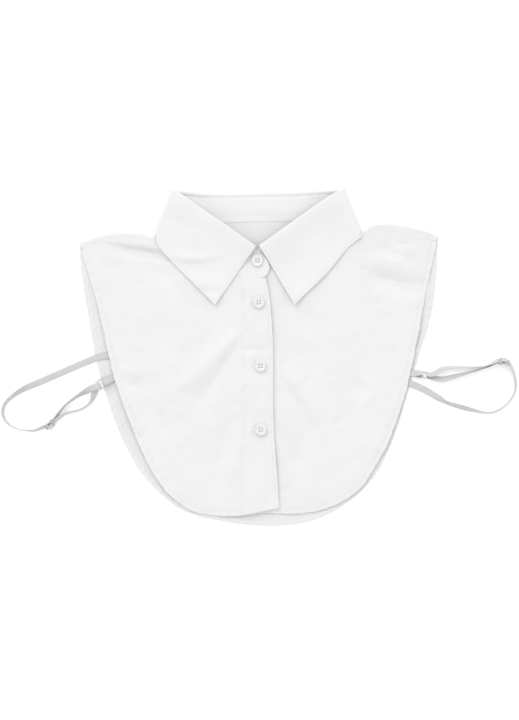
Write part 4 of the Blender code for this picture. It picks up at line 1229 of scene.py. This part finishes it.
shares = STAND_TOP + (1 - STAND_TOP) * np.linspace(0, 1, 20)
stand, on_top = collar_band(
    top, low, {"left": stand_middle("left"), "right": stand_middle("right"),
               "back": stand_back}, TURN - PLY, shares, turn_steps)
gone = travelled(stand[0], 3)
height = np.linalg.norm(stand[-1] - stand[0], axis=1)
grain = np.stack([np.tile(gone, (len(stand), 1)), shares[:, None] * height[None]], -1)
plies = 0.85 * smooth((1 - shares)[:, None] * height[None], -1.5, 1.6)
plies = np.where(on_top[None] > 0.5, 0.85, np.maximum(plies, 0.2))
collar_stand = cloth_wall("neck_stand", stand, fused, BAND_WALL, plies, grain=grain)
as_piece(collar_stand, "collar_stand")

# %% [markdown]
# ## Stitching
# Each stitch is a small rounded bar of thread, 2 mm long. It is a sphere with few faces,
# and a matrix stretches it along its seam. All the stitches of a piece of cloth go into one
# mesh, which is far quicker to draw than hundreds of objects. The thread lies half sunk in
# the cloth.

# %% Stitches
STITCH_STEP = 2.7
STITCH_LENGTH = 2.0
THREAD = 0.36
thread, tree, shader = new_material("white_thread", (0.78, 0.78, 0.78), 0.55, Sheen_Weight=0.2)
place_on = put(tree, "ShaderNodeTexCoord").outputs["Object"]
twist = put(tree, "ShaderNodeTexWave", set_bands_direction="DIAGONAL", Vector=place_on,
            Scale=900.0, Distortion=0.5).outputs["Fac"]
bump = put(tree, "ShaderNodeBump", Strength=0.6, Distance=0.00005, Height=twist)
tree.links.new(bump.outputs["Normal"], shader.inputs["Normal"])
tones(tree, shader, twist, (0.0, (0.64, 0.64, 0.64)), (1.0, (0.80, 0.80, 0.795)))


def sewn(name, lines, length=STITCH_LENGTH, size=THREAD):
    """One mesh of stitches: lines hold rows of x, y, z, one stitch at each row."""
    seam = bmesh.new()
    count = 0
    for line in lines:
        line = np.asarray(line, float) * MM
        along = unit(np.gradient(line, axis=0))
        side = unit(np.cross((0.0, 0.0, 1.0), along))
        up = np.cross(along, side)
        for centre, a, s, u in zip(line, along, side, up):
            place = Matrix.Identity(4)
            place.col[0][:3], place.col[1][:3] = s * size * MM, u * size * MM
            place.col[2][:3], place.col[3][:3] = a * length * MM, centre
            bmesh.ops.create_uvsphere(seam, u_segments=6, v_segments=5, radius=0.5,
                                      matrix=place)
            count += 1
    mesh = bpy.data.meshes.new(name)
    seam.to_mesh(mesh)
    seam.free()
    print(name, "%d stitches" % count)
    return linked(name, mesh, thread)


# %% [markdown]
# ## Where the seams run
# The stitches take their height from the finished cloth, by a ray straight down on it, so
# they follow each pucker. Sewing that another piece hides is left out.

# %% Sew the pieces
def surface_of(item):
    """Search tree of a piece with its thickness on."""
    depsgraph = bpy.context.evaluated_depsgraph_get()
    mesh = bmesh.new()
    mesh.from_object(item, depsgraph)
    tree = BVHTree.FromBMesh(mesh)
    mesh.free()
    return tree


def dropped(line, surface, sink=0.05):
    """The line's points, put down on a surface by a ray from 50 mm up."""
    rows = []
    for x, y in line:
        hit = surface.ray_cast(Vector((x * MM, y * MM, 0.05)), Vector((0, 0, -1)))
        if hit[0] is not None:
            rows.append((x, y, hit[0].z / MM + THREAD / 2 - sink - 0.1))
    return rows


STITCH_IN = 0.8        # a hem's stitching, from the hem's inner fold
line = back_edge.inside(BACK_HEM - STITCH_IN, STITCH_STEP, 8.0, 8.0)
hem_back = sewn("hem_stitches_back", [dropped(line, surface_of(bib_back))])
as_piece(hem_back, None)
for side, piece, sign in (("left", bib_front_over, 1), ("right", bib_front_under, -1)):
    line = front_edges[side].inside(sign * (HEM - STITCH_IN), STITCH_STEP, 3.0, 6.0)
    item = sewn("hem_stitches_front_" + side, [dropped(line, surface_of(piece))])
    as_piece(item, None)

placket_surface = surface_of(button_placket)
count = int(travelled(edge)[-1] / STITCH_STEP)
inner_line = even_rows(PLACKET_SEAM, count) + (PLACKET_STITCH, 0.0)
outer_line = even_rows(FRONT_EDGE["left"], count) - (PLACKET_STITCH, 0.0)
placket_sewing = sewn("placket_stitches", [dropped(inner_line[1:-2], placket_surface, 0.12),
                                           dropped(outer_line[1:-2], placket_surface)])
as_piece(placket_sewing, None)

for side, strap in STRAPS.items():
    points, across = strap_lines[side]
    gone = travelled(points, 3)
    sewing = []
    for distance in (6.5, 8.6, 10.7, 12.8):   # rows across the strap's sewn end
        row = int(np.searchsorted(gone, distance))
        sewing.append(dropped([points[row, :2] + across[row, :2] * share
                               for share in (-0.7, 0.0, 0.7)],
                              surface_of(elastic_straps[side])))
    ring = Axes(**strap["ring"])
    for distance in (5.6, 7.4, 9.2):          # rows across the tab, past the ring
        sewing.append(dropped([ring.point(distance, place, 0.0)[:2] for place in (-2, 0, 2)],
                              surface_of(ring_tabs[side])))
    as_piece(sewn("strap_stitches_" + side, sewing, length=1.5), None)

leaf_surface = surface_of(collar_leaf)
collar_lines = []
for side, sign in (("left", 1), ("right", -1)):
    front_edge = [FOLD_FRONT[side][0], WING_EDGE[side][0]]
    for points, start, stop in ((front_edge, 4.0, 3.6), (WING_EDGE[side], 3.6, 4.0)):
        line = Edge(points).inside(sign * -EDGE_STITCH, STITCH_STEP, start, stop)
        collar_lines.append(dropped(line, leaf_surface))
collar_sewing = sewn("collar_stitches", collar_lines)
as_piece(collar_sewing, None)

# %% [markdown]
# ## Buttons
# A shirt button is turned: a disc with a raised rim and a shallow dish, so its profile is spun
# round its axis. Four holes are drilled with a Boolean. Two bars of thread cross the dish and
# go down the holes. The material is a pearly plastic, with faint cloudy bands and a soft coat.

# %% Buttons
BUTTON_DIAMETER = 11.4
BUTTON_THICKNESS = 2.4
HOLE_OFFSET = 1.25
HOLE_RADIUS = 0.64
DISH = 0.76            # height of the dish, as a share of the thickness
pearl, tree, shader = new_material("pearl_button", (0.78, 0.78, 0.77), 0.28,
                                   Coat_Weight=0.4, Coat_Roughness=0.12, IOR=1.53)
place_on = put(tree, "ShaderNodeTexCoord").outputs["Object"]
bands = noise_of(tree, stretched(tree, place_on, (160.0, 420.0, 200.0)), 1.0, 4.0, 0.6)
tones(tree, shader, bands, (0.35, (0.73, 0.73, 0.725)), (0.65, (0.81, 0.81, 0.805)))
gloss = put(tree, "ShaderNodeMapRange", Value=bands, To_Min=0.2, To_Max=0.38).outputs["Result"]
tree.links.new(gloss, shader.inputs["Roughness"])


def make_button(name, x, y, base):
    radius, depth = BUTTON_DIAMETER / 2, BUTTON_THICKNESS
    profile = [(0.0, DISH), (0.42, DISH), (0.54, 0.79), (0.66, 0.90), (0.74, 0.96),
               (0.81, 0.97), (0.90, 0.91), (0.97, 0.77), (1.0, 0.60), (0.985, 0.44),
               (0.92, 0.28), (0.80, 0.1), (0.66, 0.0), (0.0, 0.0)]
    turned = bmesh.new()
    verts = [turned.verts.new((r * radius, 0.0, h * depth)) for r, h in profile]
    edges = [turned.edges.new(pair) for pair in zip(verts, verts[1:])]
    bmesh.ops.spin(turned, geom=verts + edges, axis=(0, 0, 1), cent=(0, 0, 0),
                   angle=2 * math.pi, steps=56, use_merge=True)
    bmesh.ops.remove_doubles(turned, verts=turned.verts, dist=0.001)
    bmesh.ops.recalc_face_normals(turned, faces=turned.faces)
    mesh = bpy.data.meshes.new(name)
    turned.to_mesh(mesh)
    turned.free()
    button = linked(name, mesh)
    drill = bmesh.new()
    for dx in (-1, 1):
        for dy in (-1, 1):
            made = bmesh.ops.create_cone(drill, cap_ends=True, segments=20, depth=8,
                                         radius1=HOLE_RADIUS, radius2=HOLE_RADIUS)
            bmesh.ops.translate(drill, verts=made["verts"],
                                vec=(dx * HOLE_OFFSET, dy * HOLE_OFFSET, 0.0))
    drill_mesh = bpy.data.meshes.new(name + "_drill")
    drill.to_mesh(drill_mesh)
    drill.free()
    cutter = linked(name + "_drill", drill_mesh)
    holes = button.modifiers.new("holes", "BOOLEAN")
    holes.object = cutter
    holes.operation = "DIFFERENCE"
    depsgraph = bpy.context.evaluated_depsgraph_get()
    finished = bpy.data.meshes.new_from_object(button.evaluated_get(depsgraph),
                                               depsgraph=depsgraph)
    button.modifiers.clear()
    button.data = finished
    bpy.data.objects.remove(cutter)
    co = np.empty(len(finished.vertices) * 3, np.float32)
    finished.vertices.foreach_get("co", co)
    co = (co.reshape(-1, 3) + (x, y, base)) * MM
    finished.vertices.foreach_set("co", co.ravel())
    finished.materials.clear()
    finished.materials.append(pearl)
    finished.polygons.foreach_set("use_smooth", np.ones(len(finished.polygons), bool))
    finished.set_sharp_from_angle(angle=math.radians(38))
    return button


thread_bars = []
for name in ("button_collar", "button_1", "button_2", "button_3"):
    low_corner, high_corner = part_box(name)
    x, y = (low_corner.x + high_corner.x) / 2 / MM, (low_corner.y + high_corner.y) / 2 / MM
    base = low_corner.z / MM
    as_piece(make_button("shirt_" + name, x, y, base), name)
    bow = np.linspace(-1, 1, 7)
    for dx in (-HOLE_OFFSET, HOLE_OFFSET):
        z = base + DISH * BUTTON_THICKNESS + 0.25 - 0.9 * bow ** 4
        thread_bars.append(np.stack([x + dx + 0 * bow, y + bow * (HOLE_OFFSET + 0.1), z], 1))
button_sewing = sewn("button_thread", thread_bars, length=1.0, size=0.8)
as_piece(button_sewing, None)

# %% [markdown]
# ## Table and light
# The collar was photographed on white and cut out, so the table is plain and brighter than
# the cloth. It glows a little, as a lit panel does, which washes out the shadows on it but not
# those on the cloth. A big soft light from the upper left gives the creases their shape, a
# wider one from the right and the white studio fill them.

# %% Table and light
floor_sheet = bmesh.new()
bmesh.ops.create_grid(floor_sheet, x_segments=1, y_segments=1, size=4.0)
floor_mesh = bpy.data.meshes.new("table")
floor_sheet.to_mesh(floor_mesh)
floor_sheet.free()
table_paint = new_material("table_white", (0.95, 0.95, 0.95), 0.9,
                           Emission_Color=(1.0, 1.0, 1.0, 1.0), Emission_Strength=0.17)[0]
linked("table", floor_mesh, table_paint)


def add_sun(name, towards, softness, strength):
    """Even light from one direction; softness is how wide its source looks, in degrees."""
    data = bpy.data.lights.new(name, "SUN")
    data.angle = math.radians(softness)
    data.energy = strength
    light = bpy.data.objects.new(name, data)
    light.location = towards
    light.rotation_euler = Vector(towards).to_track_quat("Z", "Y").to_euler()
    bpy.context.scene.collection.objects.link(light)


add_sun("key", (-0.55, 0.95, 1.0), 45.0, 0.95)
add_sun("side", (0.9, 0.1, 1.1), 60.0, 0.3)
world = bpy.data.worlds.new("studio")
world.use_nodes = True
world.node_tree.nodes["Background"].inputs["Color"].default_value = (1.0, 1.0, 1.0, 1.0)
world.node_tree.nodes["Background"].inputs["Strength"].default_value = 0.86
bpy.context.scene.world = world
bpy.context.scene.view_settings.view_transform = "Standard"
print("table and two suns ready, studio at %.2f"
      % world.node_tree.nodes["Background"].inputs["Strength"].default_value)
